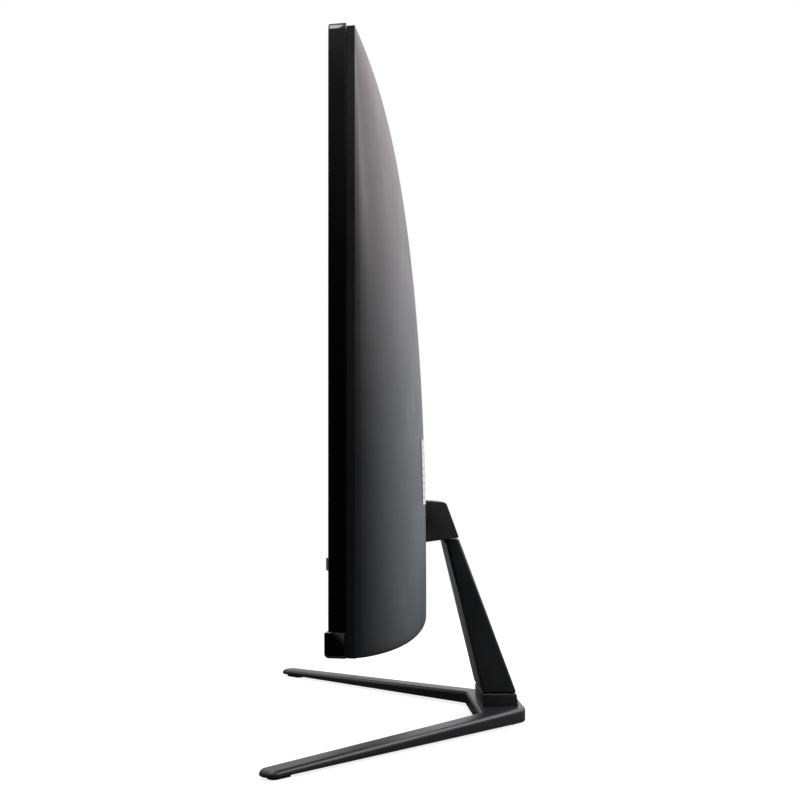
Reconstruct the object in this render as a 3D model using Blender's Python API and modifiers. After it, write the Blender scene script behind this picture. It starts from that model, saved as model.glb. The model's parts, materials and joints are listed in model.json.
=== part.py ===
"""Curved desktop monitor on a V-legged stand.

Metres, +Z up. The screen faces -Y and the stand's legs reach towards -Y. The origin is on the
table, halfway between the leg tips and the nose of the base, on the plane of symmetry.

The display's curved pieces are drawn flat first: x is the distance along the arc, y the depth
behind the screen's front surface, z the height above the display's bottom edge. wrap() then
rolls them round the screen's vertical axis.
"""

import math

import bmesh
import bpy
from mathutils import Matrix, Vector

# ---------------------------------------------------------------- driving dimensions
GAP = 0.0003                    # between pieces that touch
RUNNING_FIT = 0.0001            # a pin in its bore, on the radius

SCREEN_RADIUS = 1.5             # the screen's curve
DISPLAY_WIDTH = 0.610           # chord across the front edges
DISPLAY_HEIGHT = 0.364
DISPLAY_BOTTOM = 0.0985         # above the table
BEZEL_DEPTH = 0.0105            # glossy front frame, front to back
BEZEL_WALL = 0.0025
CHIN_HEIGHT = 0.015
CHIN_PROUD = 0.0023             # how far the chin stands in front of the screen
RIM_DEPTH = 0.0156              # front surface to the crease of the rear cover
BULGE_DEPTH = 0.0308            # crease to the deepest point of the rear cover
COVER_WALL = 0.0025
COVER_INSET_TOP = 0.0020
COVER_INSET = 0.0005            # at the sides and the bottom
COVER_EDGE_ROUND = 0.0030       # lower rear edge
SIDE_POWER = 5.3                # how flat the bulge runs across its middle
SIDE_FULLNESS = 0.61            # how fast it rises from the sides
TOP_POWER = 2.5                 # how flat it runs up its middle
TOP_FULLNESS = 0.76             # how fast it rises from the top
PANEL_BORDER = 0.0045           # width of the panel's own plastic frame
GLASS_SETBACK = 0.0006
GLASS_THICKNESS = 0.0014
SHEETS_THICKNESS = 0.0009
GUIDE_THICKNESS = 0.0020
REFLECTOR_THICKNESS = 0.0004
TRAY_THICKNESS = 0.0008
LED_BAR_HEIGHT = 0.0035
BOARD_THICKNESS = 0.0016

BRACKET_THICKNESS = 0.0012      # steel chassis that carries the boards
BRACKET_WIDTH = 0.300
BRACKET_BOTTOM = 0.135
BRACKET_HEIGHT = 0.215
BRACKET_DEPTH = 0.0107          # behind the screen's front, at the middle
BOARD_STANDOFF = max(0.0045, BULGE_DEPTH - 0.0238)   # the boards keep their distance from the cover
MAIN_BOARD_WIDTH = 0.0910
BAY_WIDTH = 0.094               # recess for the sockets, open at the back and the bottom
BAY_DEPTH_FLOOR = 0.0162        # how deep behind the screen's front its floor lies
BAY_CEILING = 0.147
BAY_INNER_X = -0.0560
VESA_PITCH = 0.100
VESA_CENTRE = 0.256
VESA_PAD = 0.120
VESA_PAD_SINK = 0.0004          # the pad's flat floor below the cover at its upper corners
VESA_HOLE_RADIUS = 0.0022
VESA_POST_RADIUS = 0.0048
VESA_THREAD_DEPTH = 0.010
VENT_SLOTS = 18
VENT_SLOT_WIDTH = 0.0028
VENT_SLOT_HEIGHT = 0.024
VENT_PITCH = 0.0088
LABEL_WIDTH = 0.037
LABEL_HEIGHT = 0.045
LABEL_CENTRE = (0.166, 0.2065)
KEY_COUNT = 5
KEY_PITCH = 0.018
KEY_SIZE = (0.011, 0.0040)
KEY_PROUD = 0.0009
KEY_RIGHT = 0.270               # arc distance of the power key from the middle
KEY_DEPTH = 0.0050              # of the keys' centres, behind the screen's front
KEY_CLEARANCE = 0.0003
KEY_FLANGE = 0.0009             # how far a key's flange reaches past its sides
KEY_TRAVEL = 0.0008
LIGHT_RADIUS = 0.0011
COVER_SCREWS = (-0.200, 0.0, 0.200)
COVER_SCREW_DEPTH = 0.0300      # behind the screen's front
SCREW_HOLE_SIDES = 15           # odd, so that no corner falls on a fold line of the shell

BASE_DEPTH = 0.210
LEG_TIP_SPACING = 0.390         # between the centres of the leg tips
LEG_TIP_WIDTH = 0.0176
LEG_ROOT_WIDTH = 0.0180
LEG_ROOT = (0.0383, 0.0832)     # centre of a leg where it joins the nose
NOSE_HALF_WIDTH = 0.024
WEB_FRONT = 0.0635              # front edge of the web between the legs
LEG_UNDERSIDE = 0.0025
TIP_TOP = 0.0066
ROOT_TOP = 0.0142
LEG_EDGE_ROUND = 0.0018
STUB_TOP = 0.0243
STUB_FLARE = 0.0018
NOSE_ROUND = 0.020
WEB_ROUND = 0.004
PAD_LENGTH = 0.024
PAD_WIDTH = 0.009
REAR_PAD_RADIUS = 0.006
REAR_PAD_PLACE = (0.0270, 0.0900)

NECK_WIDTH = 0.052
NECK_FRONT_SLOPE = 0.2411       # metres back for each metre down
NECK_REAR_SLOPE = 0.3750
NECK_THICKNESS_AT_PIVOT = 0.0092
NECK_EDGE_ROUND = 0.0020
NECK_TOP_DROP = 0.0155          # shoulder of the neck below the pivot
PIVOT_TO_NOSE = 0.070
PIVOT_HEIGHT = 0.168
PIVOT_BEHIND_COVER = 0.0163
BARREL_RADIUS = 0.0068
BARREL_WIDTH = 0.032
PIN_RADIUS = 0.0025
EAR_THICKNESS = 0.003
WASHER_THICKNESS = 0.0014
HEAD_WALL = 0.0020
HEAD_CLEARANCE = 0.0010         # neck to cheek
SCREW_RADIUS = 0.0020
SCREW_HEAD_RATIO = 1.8
BASE_SCREW_RADIUS = 0.003
BASE_SCREW_HEAD = 0.0085        # radius of its head
BASE_SCREW_TOP = 0.042
SCREW_RECESS_TOP = 0.0090
SCREW_HEAD_THICKNESS = 0.0045
SLOT_WIDTH = 0.0016

ROUND = 24                      # sides of a round piece
BEND_PIECES = 20                # flats that make up the screen's arc

# ---------------------------------------------------------------- worked out from them
HALF_ANGLE = math.asin(DISPLAY_WIDTH / 2 / SCREEN_RADIUS)
HALF_ARC = SCREEN_RADIUS * HALF_ANGLE
SAGITTA = SCREEN_RADIUS * (1 - math.cos(HALF_ANGLE))
COVER_HALF = HALF_ARC - COVER_INSET
COVER_TOP = DISPLAY_HEIGHT - COVER_INSET_TOP
NOSE_Y = BASE_DEPTH / 2
PIVOT_Y = NOSE_Y - PIVOT_TO_NOSE
NECK_HALF = NECK_WIDTH / 2
HEAD_HALF = NECK_HALF + HEAD_CLEARANCE + HEAD_WALL


def bulge(across, down):
    """Share of the full bulge at these shares of the half width and of the height from the top."""
    side = max(0.0, 1 - abs(across) ** SIDE_POWER) ** SIDE_FULLNESS
    top = max(0.0, 1 - (1 - down) ** TOP_POWER) ** TOP_FULLNESS
    return side * top


def cover_depth(along, height):
    """Depth of the rear cover's outer surface behind the screen, in the flat drawing."""
    across = min(1.0, abs(along) / COVER_HALF)
    down = min(1.0, max(0.0, (COVER_TOP - height) / (COVER_TOP - COVER_INSET)))
    return RIM_DEPTH + BULGE_DEPTH * bulge(across, down)


VESA_PAD_DEPTH = (cover_depth(VESA_PAD / 2, VESA_CENTRE + VESA_PAD / 2 - DISPLAY_BOTTOM)
                  - (VESA_PAD / 2) ** 2 / (2 * SCREEN_RADIUS) - VESA_PAD_SINK)
COVER_AT_PIVOT = cover_depth(0, PIVOT_HEIGHT - DISPLAY_BOTTOM)
MID_FRONT_Y = PIVOT_Y - PIVOT_BEHIND_COVER - COVER_AT_PIVOT   # screen's front at the middle
ARC_CENTRE_Y = MID_FRONT_Y - SCREEN_RADIUS
COVER_AT_PIVOT_Y = MID_FRONT_Y + COVER_AT_PIVOT


def cover_inside_y(x, z):
    """World Y of the rear cover's inner surface."""
    depth = cover_depth(x, z - DISPLAY_BOTTOM) - COVER_WALL
    return ARC_CENTRE_Y + math.sqrt((SCREEN_RADIUS + depth) ** 2 - x ** 2)


# ---------------------------------------------------------------- scene and materials
for old in list(bpy.data.objects):
    bpy.data.objects.remove(old)

PARTS = bpy.data.collections.new("curved_monitor")
CUTTERS = bpy.data.collections.new("cutters")
bpy.context.scene.collection.children.link(PARTS)
bpy.context.scene.collection.children.link(CUTTERS)
CUTTERS.hide_render = True


def finish(name, colour, roughness, metallic=0.0):
    material = bpy.data.materials.new(name)
    material.use_nodes = True
    shader = material.node_tree.nodes["Principled BSDF"]
    shader.inputs["Base Color"].default_value = (*colour, 1)
    shader.inputs["Roughness"].default_value = roughness
    shader.inputs["Metallic"].default_value = metallic
    return material


GLOSS_BLACK = finish("gloss_black", (0.008, 0.008, 0.009), 0.08)
SATIN_BLACK = finish("satin_black", (0.020, 0.021, 0.023), 0.30)
MATTE_BLACK = finish("matte_black", (0.022, 0.023, 0.025), 0.55)
GRAPHITE = finish("graphite_paint", (0.055, 0.060, 0.062), 0.42, 0.3)
SCREEN_BLACK = finish("screen_black", (0.012, 0.012, 0.014), 0.25)
CLEAR = finish("clear_acrylic", (0.82, 0.86, 0.88), 0.1)
WHITE_FILM = finish("white_film", (0.86, 0.87, 0.88), 0.5)
STEEL = finish("zinc_steel", (0.55, 0.56, 0.57), 0.38, 1.0)
DARK_STEEL = finish("dark_steel", (0.12, 0.12, 0.13), 0.35, 1.0)
BOARD_GREEN = finish("board_green", (0.02, 0.14, 0.07), 0.45)
NICKEL = finish("nickel_shell", (0.62, 0.61, 0.58), 0.28, 1.0)
RUBBER = finish("rubber", (0.015, 0.015, 0.015), 0.9)
PAPER = finish("label_paper", (0.78, 0.77, 0.74), 0.6)
RIBBON = finish("ribbon", (0.75, 0.72, 0.60), 0.5)

# ---------------------------------------------------------------- modelling helpers


def put(name, mesh, material=None):
    """A part, or a cutter when it has no material."""
    piece = bpy.data.objects.new(name, mesh)
    if material is None:
        CUTTERS.objects.link(piece)
        piece.hide_render = True
        piece.display_type = "WIRE"
    else:
        PARTS.objects.link(piece)
        mesh.materials.append(material)
    return piece


def mesh_of(form, name):
    bmesh.ops.recalc_face_normals(form, faces=form.faces)
    mesh = bpy.data.meshes.new(name)
    form.to_mesh(mesh)
    form.free()
    return mesh


def block(name, low, high, material=None):
    form = bmesh.new()
    bmesh.ops.create_cube(form, size=1)
    size = [top - bottom for top, bottom in zip(high, low)]
    middle = [(top + bottom) / 2 for top, bottom in zip(high, low)]
    bmesh.ops.scale(form, vec=size, verts=form.verts)
    bmesh.ops.translate(form, vec=middle, verts=form.verts)
    return put(name, mesh_of(form, name), material)


def rod(name, start, end, radius, material=None, sides=ROUND):
    """A round bar between two points."""
    start, end = Vector(start), Vector(end)
    form = bmesh.new()
    bmesh.ops.create_cone(form, cap_ends=True, segments=sides, radius1=radius, radius2=radius,
                          depth=(end - start).length)
    turn = (end - start).to_track_quat("Z", "X").to_matrix().to_4x4()
    bmesh.ops.transform(form, matrix=Matrix.Translation((start + end) / 2) @ turn, verts=form.verts)
    return put(name, mesh_of(form, name), material)


def as_mesh(piece, material=None):
    """The piece with its modifiers or curve settings turned into a plain mesh of the same name."""
    bpy.context.view_layer.update()
    graph = bpy.context.evaluated_depsgraph_get()
    mesh = bpy.data.meshes.new_from_object(piece.evaluated_get(graph))
    mesh.transform(piece.matrix_world)
    name = piece.name
    bpy.data.objects.remove(piece)
    form = bmesh.new()
    form.from_mesh(mesh)
    bmesh.ops.remove_doubles(form, verts=form.verts, dist=1e-6)
    mesh.materials.clear()
    solid = mesh_of(form, name)
    return put(name, solid, material)


def plate(name, outline, thickness, material=None):
    """A flat outline in X and Y, extruded from z = 0 up to its thickness."""
    curve = bpy.data.curves.new(name, "CURVE")
    curve.dimensions = "2D"
    curve.fill_mode = "BOTH"
    curve.extrude = thickness / 2
    spline = curve.splines.new("POLY")
    spline.points.add(len(outline) - 1)
    for point, (x, y) in zip(spline.points, outline):
        point.co = (x, y, 0, 1)
    spline.use_cyclic_u = True
    drawn = bpy.data.objects.new(name, curve)
    CUTTERS.objects.link(drawn)
    drawn.location.z = thickness / 2
    return as_mesh(drawn, material)


def profile(name, outline, low_x, high_x, material=None):
    """An outline in Y and Z, extruded along X."""
    piece = plate(name, outline, high_x - low_x, material)
    stand_up = Matrix(((0, 0, 1, low_x), (1, 0, 0, 0), (0, 1, 0, 0), (0, 0, 0, 1)))
    piece.data.transform(stand_up)
    return piece


def section(name, outline, low_z, high_z, material=None):
    """An outline in X and Y, extruded along Z."""
    piece = plate(name, outline, high_z - low_z, material)
    piece.data.transform(Matrix.Translation((0, 0, low_z)))
    return piece


def rounded(corners, steps=5):
    """An outline whose corners (x, y, radius) are replaced by arcs."""
    outline = []
    for index, (x, y, radius) in enumerate(corners):
        corner = Vector((x, y))
        before = Vector(corners[index - 1][:2]) - corner
        after = Vector(corners[(index + 1) % len(corners)][:2]) - corner
        if radius == 0:
            outline.append((x, y))
            continue
        half = before.angle(after) / 2
        reach = min(radius / math.tan(half), before.length * 0.49, after.length * 0.49)
        fitted = reach * math.tan(half)
        middle = corner + (before.normalized() + after.normalized()).normalized() * (
            fitted / math.sin(half))
        first = corner + before.normalized() * reach - middle
        last = corner + after.normalized() * reach - middle
        sweep = first.angle_signed(last)
        for step in range(steps + 1):
            turned = Matrix.Rotation(-sweep * step / steps, 2) @ first
            outline.append(tuple(middle + turned))
    return outline


def arc(centre, radius, start, end, steps):
    """Points on a circle between two angles in degrees."""
    angles = [math.radians(start + (end - start) * step / steps) for step in range(steps + 1)]
    return [(centre[0] + radius * math.cos(a), centre[1] + radius * math.sin(a)) for a in angles]


def apply_to(piece, operation, other):
    cut = piece.modifiers.new(operation.lower(), "BOOLEAN")
    cut.operation = operation
    cut.solver = "EXACT"
    cut.object = other


def cut_from(piece, *cutters):
    for cutter in cutters:
        apply_to(piece, "DIFFERENCE", cutter)


def add_to(piece, *others):
    for other in others:
        apply_to(piece, "UNION", other)


def wrap(piece, material=None, sliced=True):
    """Rolls a flat drawing round the screen's axis and lifts it to the display's height."""
    name = piece.name
    solid = as_mesh(piece)
    form = bmesh.new()
    form.from_mesh(solid.data)
    bpy.data.objects.remove(solid)
    step = 2 * HALF_ARC / BEND_PIECES
    low = min(vert.co.x for vert in form.verts)
    high = max(vert.co.x for vert in form.verts)
    for index in range(1, BEND_PIECES):
        along = -HALF_ARC + index * step
        if sliced and low + 1e-4 < along < high - 1e-4:
            bmesh.ops.bisect_plane(form, geom=form.verts[:] + form.edges[:] + form.faces[:],
                                   plane_co=(along, 0, 0), plane_no=(1, 0, 0), dist=1e-6)
    for vert in form.verts:
        along, depth, height = vert.co
        angle = along / SCREEN_RADIUS
        vert.co = ((SCREEN_RADIUS + depth) * math.sin(angle),
                   ARC_CENTRE_Y + (SCREEN_RADIUS + depth) * math.cos(angle),
                   DISPLAY_BOTTOM + height)
    return put(name, mesh_of(form, name), material)


def behind(depth):
    """World Y of a depth behind the screen's front surface, at the middle of the screen."""
    return MID_FRONT_Y + depth


# ---------------------------------------------------------------- panel
PANEL_HALF = HALF_ARC - BEZEL_WALL - GAP
PANEL_BOTTOM = CHIN_HEIGHT + GAP
PANEL_TOP = DISPLAY_HEIGHT - BEZEL_WALL - GAP
INNER_HALF = PANEL_HALF - PANEL_BORDER
INNER_BOTTOM = PANEL_BOTTOM + PANEL_BORDER
INNER_TOP = PANEL_TOP - PANEL_BORDER


def layer(name, half, low, high, front, thickness, material):
    return wrap(block(name, (-half, front, low), (half, front + thickness, high)), material)


def build_panel():
    """The display module, from the glass back to its steel tray."""
    glass_back = GLASS_SETBACK + GLASS_THICKNESS
    layer("lcd_glass", PANEL_HALF, PANEL_BOTTOM, PANEL_TOP, GLASS_SETBACK, GLASS_THICKNESS,
          SCREEN_BLACK)
    sheets = glass_back + GAP
    guide = sheets + SHEETS_THICKNESS + GAP
    reflector = guide + GUIDE_THICKNESS + GAP
    tray = reflector + REFLECTOR_THICKNESS + GAP
    layer("diffuser_sheets", INNER_HALF - GAP, INNER_BOTTOM + GAP, INNER_TOP - GAP, sheets,
          SHEETS_THICKNESS, WHITE_FILM)
    guide_bottom = INNER_BOTTOM + GAP + LED_BAR_HEIGHT + GAP
    layer("light_guide", INNER_HALF - GAP, guide_bottom, INNER_TOP - GAP, guide,
          GUIDE_THICKNESS, CLEAR)
    layer("led_bar", INNER_HALF - 10 * GAP, INNER_BOTTOM + GAP, guide_bottom - GAP, guide,
          GUIDE_THICKNESS, WHITE_FILM)
    layer("reflector_sheet", INNER_HALF - GAP, INNER_BOTTOM + GAP, INNER_TOP - GAP, reflector,
          REFLECTOR_THICKNESS, WHITE_FILM)
    layer("panel_tray", PANEL_HALF, PANEL_BOTTOM, PANEL_TOP, tray, TRAY_THICKNESS, STEEL)

    ring = block("panel_frame", (-PANEL_HALF, sheets, PANEL_BOTTOM), (PANEL_HALF, tray - GAP, PANEL_TOP))
    cut_from(ring, block("panel_frame_window", (-INNER_HALF, 0, INNER_BOTTOM),
                         (INNER_HALF, RIM_DEPTH, INNER_TOP)))
    wrap(ring, MATTE_BLACK)
    return tray + TRAY_THICKNESS


def build_front():
    """Three-sided glossy frame, and the chin that closes it along the bottom."""
    inner = HALF_ARC - BEZEL_WALL
    frame = block("front_frame", (-HALF_ARC, 0, CHIN_HEIGHT + GAP), (HALF_ARC, BEZEL_DEPTH, DISPLAY_HEIGHT))
    cut_from(frame, block("front_frame_window", (-inner, -GLASS_SETBACK, -CHIN_HEIGHT),
                          (inner, RIM_DEPTH, DISPLAY_HEIGHT - BEZEL_WALL)))
    wrap(frame, GLOSS_BLACK)

    chin = block("chin", (-HALF_ARC, -CHIN_PROUD, 0), (HALF_ARC, BEZEL_DEPTH, CHIN_HEIGHT))
    cut_from(chin, block("chin_hollow", (-inner, GLASS_SETBACK, BEZEL_WALL),
                         (inner, RIM_DEPTH, 2 * CHIN_HEIGHT)))
    for index in range(KEY_COUNT):
        cut_from(chin, key_block(f"key_hole_{index + 1}", index, KEY_CLEARANCE, -BEZEL_WALL, 2 * BEZEL_WALL))
    light_at = KEY_RIGHT + KEY_PITCH
    cut_from(chin, rod("light_hole", (light_at, -2 * CHIN_PROUD, CHIN_HEIGHT / 3),
                       (light_at, CHIN_HEIGHT, CHIN_HEIGHT / 3), LIGHT_RADIUS + RUNNING_FIT, sides=16))
    wrap(chin, GLOSS_BLACK)
    wrap(rod("power_light", (light_at, -CHIN_PROUD, CHIN_HEIGHT / 3),
             (light_at, GLASS_SETBACK + BEZEL_WALL, CHIN_HEIGHT / 3), LIGHT_RADIUS, sides=16), CLEAR)



def key_block(name, index, grown, low, high):
    """The flat drawing of one key's section, made larger all round for its hole."""
    middle = KEY_RIGHT - index * KEY_PITCH
    return block(name, (middle - KEY_SIZE[0] / 2 - grown, KEY_DEPTH - KEY_SIZE[1] / 2 - grown, low),
                 (middle + KEY_SIZE[0] / 2 + grown, KEY_DEPTH + KEY_SIZE[1] / 2 + grown, high))


def build_keys():
    """Menu keys and power key under the chin, with the small board that they press on."""
    names = ["power_key"] + [f"menu_key_{index}" for index in range(1, KEY_COUNT)]
    top = BEZEL_WALL + 2 * KEY_PROUD
    for index, name in enumerate(names):
        key = key_block(name, index, 0, -KEY_PROUD, top)
        add_to(key, key_block(f"{name}_flange", index, KEY_FLANGE, BEZEL_WALL + GAP, top))
        wrap(key, GLOSS_BLACK, sliced=False)
    half = KEY_SIZE[1] / 2 + KEY_FLANGE
    low = top + KEY_TRAVEL + GAP
    wrap(block("key_board", (KEY_RIGHT - KEY_COUNT * KEY_PITCH, KEY_DEPTH - half, low),
               (KEY_RIGHT + KEY_PITCH / 2, KEY_DEPTH + half, low + BOARD_THICKNESS)), BOARD_GREEN)


# ---------------------------------------------------------------- rear cover


def columns_of(half):
    """Column places across a dome: the arc's flats, with a few closer ones towards the sides."""
    step = 2 * HALF_ARC / BEND_PIECES
    most = BEND_PIECES // 2 - 1
    places = [index * step for index in range(-most, most + 1)]
    spare = half - places[-1]
    closer = [half - spare * share for share in (0.55, 0.25, 0.08, 0)]
    return [-place for place in reversed(closer)] + places + closer


def domed(name, inset, front):
    """A solid with the rear cover's outer form, drawn flat, moved inwards by inset all round."""
    rows, edge_rows = 15, 4
    half = COVER_HALF - inset
    columns = columns_of(half)
    form = bmesh.new()
    bmesh.ops.create_grid(form, x_segments=len(columns) - 1, y_segments=rows + edge_rows, size=1)
    low, high = COVER_INSET + inset, COVER_TOP - inset
    round_over = max(COVER_EDGE_ROUND - inset, GAP)
    for vert in form.verts:
        along = columns[round((vert.co.x + 1) / 2 * (len(columns) - 1))]
        row = round((vert.co.y + 1) / 2 * (rows + edge_rows))
        if row <= edge_rows:
            angle = math.pi / 2 * row / edge_rows
            height = low + round_over * (1 - math.cos(angle))
            shy = round_over * (1 - math.sin(angle))
        else:
            share = (row - edge_rows) / rows
            height = low + round_over + (high - low - round_over) * math.sin(share * math.pi / 2)
            shy = 0
        down = (high - height) / (high - low)
        rise = BULGE_DEPTH * bulge(along / half, down)
        depth = RIM_DEPTH - inset + rise - min(shy, rise * 0.98)
        vert.co = (along, depth, height)
    rim = [edge for edge in form.edges if edge.is_boundary]
    skirt = bmesh.ops.extrude_edge_only(form, edges=rim)["geom"]
    for vert in skirt:
        if isinstance(vert, bmesh.types.BMVert):
            vert.co.y = front
    bmesh.ops.holes_fill(form, edges=[edge for edge in form.edges if edge.is_boundary], sides=0)
    return put(name, mesh_of(form, name))


def bay_box(name, grown, low_z):
    outer_x = BAY_INNER_X - BAY_WIDTH
    return block(name, (outer_x - grown, behind(BAY_DEPTH_FLOOR) - grown, low_z),
                 (BAY_INNER_X + grown, behind(RIM_DEPTH + 2 * BULGE_DEPTH), BAY_CEILING + grown))


def pad_box(name, grown, deep):
    half = VESA_PAD / 2 + grown
    return block(name, (-half, behind(VESA_PAD_DEPTH) - deep, VESA_CENTRE - half),
                 (half, behind(RIM_DEPTH + 2 * BULGE_DEPTH), VESA_CENTRE + half))


def vesa_places():
    half = VESA_PITCH / 2
    return [(x, z) for z in (VESA_CENTRE - half, VESA_CENTRE + half) for x in (-half, half)]


def mount_opening(name, grown, low_y, high_y):
    """The window through which the hinge bracket reaches the steel inside."""
    half = HINGE_PLATE_HALF + grown
    return block(name, (-half, low_y, HINGE_PLATE_LOW - grown), (half, high_y, HINGE_PLATE_HIGH + grown))


def build_rear_cover():
    front = BEZEL_DEPTH + GAP
    outer = wrap(domed("rear_cover", 0, front))
    inner = wrap(domed("cover_hollow", COVER_WALL, front - BEZEL_DEPTH / 2))
    cut_from(inner, bay_box("bay_walls", COVER_WALL, 0), pad_box("pad_wall", COVER_WALL, COVER_WALL))
    hollow = as_mesh(inner)
    cut_from(outer, hollow, bay_box("bay", 0, 0), pad_box("pad", 0, 0),
             mount_opening("mount_window", GAP, COVER_AT_PIVOT_Y - 4 * COVER_WALL, COVER_AT_PIVOT_Y + COVER_WALL))
    for index, (x, z) in enumerate(vesa_places()):
        cut_from(outer, rod(f"vesa_hole_{index + 1}", (x, behind(VESA_PAD_DEPTH - 2 * COVER_WALL), z),
                            (x, behind(VESA_PAD_DEPTH + COVER_WALL), z), VESA_HOLE_RADIUS + GAP, sides=16))
    vent_low = VESA_CENTRE + VESA_PAD / 2 + VENT_SLOT_HEIGHT
    for index in range(VENT_SLOTS):
        x = (index - (VENT_SLOTS - 1) / 2) * VENT_PITCH
        cut_from(outer, block(f"vent_{index + 1}",
                              (x - VENT_SLOT_WIDTH / 2, behind(RIM_DEPTH), vent_low),
                              (x + VENT_SLOT_WIDTH / 2, behind(RIM_DEPTH + 2 * BULGE_DEPTH),
                               vent_low + VENT_SLOT_HEIGHT)))
    for index, (_, x, width, depth, _) in enumerate(SOCKETS):
        cut_from(outer, block(f"socket_window_{index + 1}",
                              (x - width / 2 - GAP, SOCKET_Y - GAP, BAY_CEILING - COVER_WALL),
                              (x + width / 2 + GAP, SOCKET_Y + depth + GAP, BAY_CEILING + 2 * COVER_WALL)))
    for index, x in enumerate(COVER_SCREWS):
        cut_from(outer, rod(f"cover_screw_hole_{index + 1}", (x, cover_screw_y(x), DISPLAY_BOTTOM - COVER_WALL),
                            (x, cover_screw_y(x), DISPLAY_BOTTOM + 3 * COVER_WALL),
                            SCREW_RADIUS + RUNNING_FIT, sides=SCREW_HOLE_SIDES))
    as_mesh(outer, SATIN_BLACK)


def cover_screw_y(x):
    """Depth of a screw up through the cover's bottom wall, following the screen's curve."""
    return ARC_CENTRE_Y + math.sqrt((SCREEN_RADIUS + COVER_SCREW_DEPTH) ** 2 - x ** 2)


def build_cover_screws():
    head_top = DISPLAY_BOTTOM + COVER_INSET - GAP
    for index, x in enumerate(COVER_SCREWS):
        y = cover_screw_y(x)
        screw = rod(f"cover_screw_{index + 1}", (x, y, head_top - SCREW_RADIUS / 2),
                    (x, y, DISPLAY_BOTTOM + 4 * COVER_WALL), SCREW_RADIUS, DARK_STEEL, sides=16)
        add_to(screw, rod(f"cover_screw_head_{index + 1}", (x, y, head_top - SCREW_RADIUS * 0.8),
                          (x, y, head_top), SCREW_HEAD_RATIO * SCREW_RADIUS, sides=16))


def build_label():
    """Rating label: a thin skin that follows the cover."""
    skin = domed("rating_label", -2 * GAP, RIM_DEPTH)
    x, z = LABEL_CENTRE
    z -= DISPLAY_BOTTOM
    window = block("label_window", (x - LABEL_WIDTH / 2, RIM_DEPTH + GAP, z - LABEL_HEIGHT / 2),
                   (x + LABEL_WIDTH / 2, RIM_DEPTH + 2 * BULGE_DEPTH, z + LABEL_HEIGHT / 2))
    apply_to(skin, "INTERSECT", window)
    cut_from(skin, domed("label_back", -GAP, 0))
    wrap(skin, PAPER)


# ---------------------------------------------------------------- electronics
BOARD_Y = behind(BRACKET_DEPTH + BRACKET_THICKNESS + BOARD_STANDOFF + GAP)
SOCKET_Y = BOARD_Y + BOARD_THICKNESS + GAP
SOCKET_LENGTH = 0.016
SOCKET_MOUTH = BAY_CEILING - 0.0005
BOARD_LOW = BAY_CEILING + COVER_WALL + 0.003
MAIN_BOARD_LEFT = BAY_INNER_X - 0.0005 - MAIN_BOARD_WIDTH
MAIN_BOARD_HEIGHT = 0.130
DRIVER_BOARD = (0.060, 0.142)   # X range of the backlight driver's board
DRIVER_BOARD_HEIGHT = 0.090
STANDOFF_RADIUS = 0.003
STANDOFF_INSET = 0.005
SHIELD_MARGIN = 0.008
SHIELD_DEPTH_MOST = 0.012
SHIELD_CLEARANCE = 0.001        # between the shield and the cover
SHIELD_WALL = 0.001
SHIELD_RISE = (0.035, 0.115)    # above the board's lower edge
STRIP_WIDTH = 0.440             # narrow driver board along the panel's bottom
STRIP_HEIGHT = 0.011
RIBBON_WIDTH = 0.0160
RIBBON_THICKNESS = 0.0004
RIBBON_LAP = 0.012
PORT_PLATE_THICKNESS = 0.0008
PORT_PLATE_REACH = 0.0118       # behind the sockets' front
# components: centre across and up from the board's lower left corner, width, height, thickness
MAIN_COMPONENTS = ((0.0455, 0.062, 0.020, 0.020, 0.0025), (0.0735, 0.060, 0.010, 0.014, 0.0020),
                   (0.0175, 0.095, 0.012, 0.012, 0.0060))
DRIVER_COMPONENTS = ((0.022, 0.060, 0.016, 0.016, 0.010), (0.050, 0.058, 0.010, 0.010, 0.012),
                     (0.050, 0.025, 0.014, 0.010, 0.006))

# name, centre X, width, depth, and opening (width, depth) or radius
SOCKETS = (
    ("power_socket", BAY_INNER_X - 0.0835, 0.0110, 0.0110, 0.0033),
    ("hdmi_socket_1", BAY_INNER_X - 0.0645, 0.0164, 0.0070, (0.0146, 0.0050)),
    ("hdmi_socket_2", BAY_INNER_X - 0.0435, 0.0164, 0.0070, (0.0146, 0.0050)),
    ("displayport_socket", BAY_INNER_X - 0.0220, 0.0180, 0.0070, (0.0162, 0.0050)),
    ("audio_socket", BAY_INNER_X - 0.0065, 0.0074, 0.0074, 0.0018),
)


def build_sockets():
    for name, x, width, depth, opening in SOCKETS:
        shell = block(name, (x - width / 2, SOCKET_Y, SOCKET_MOUTH),
                      (x + width / 2, SOCKET_Y + depth, SOCKET_MOUTH + SOCKET_LENGTH),
                      NICKEL if isinstance(opening, tuple) else MATTE_BLACK)
        middle = SOCKET_Y + depth / 2
        below, bottom = SOCKET_MOUTH - 0.001, SOCKET_MOUTH + 0.6 * SOCKET_LENGTH
        if isinstance(opening, tuple):
            hole = block(f"{name}_mouth", (x - opening[0] / 2, middle - opening[1] / 2, below),
                         (x + opening[0] / 2, middle + opening[1] / 2, bottom))
        else:
            hole = rod(f"{name}_mouth", (x, middle, below), (x, middle, bottom), opening, sides=20)
        cut_from(shell, hole)


def build_port_plate():
    """Steel shield over the sockets, above the ceiling of the bay."""
    low = BAY_CEILING + COVER_WALL + GAP
    shield = block("port_plate", (BAY_INNER_X - BAY_WIDTH, BOARD_Y - BOARD_STANDOFF / 2, low),
                   (BAY_INNER_X, SOCKET_Y + PORT_PLATE_REACH, low + PORT_PLATE_THICKNESS), STEEL)
    for index, (_, x, width, depth, _) in enumerate(SOCKETS):
        cut_from(shield, block(f"plate_window_{index + 1}", (x - width / 2 - GAP, SOCKET_Y - GAP, low - GAP),
                               (x + width / 2 + GAP, SOCKET_Y + depth + GAP, low + 4 * GAP)))


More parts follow.
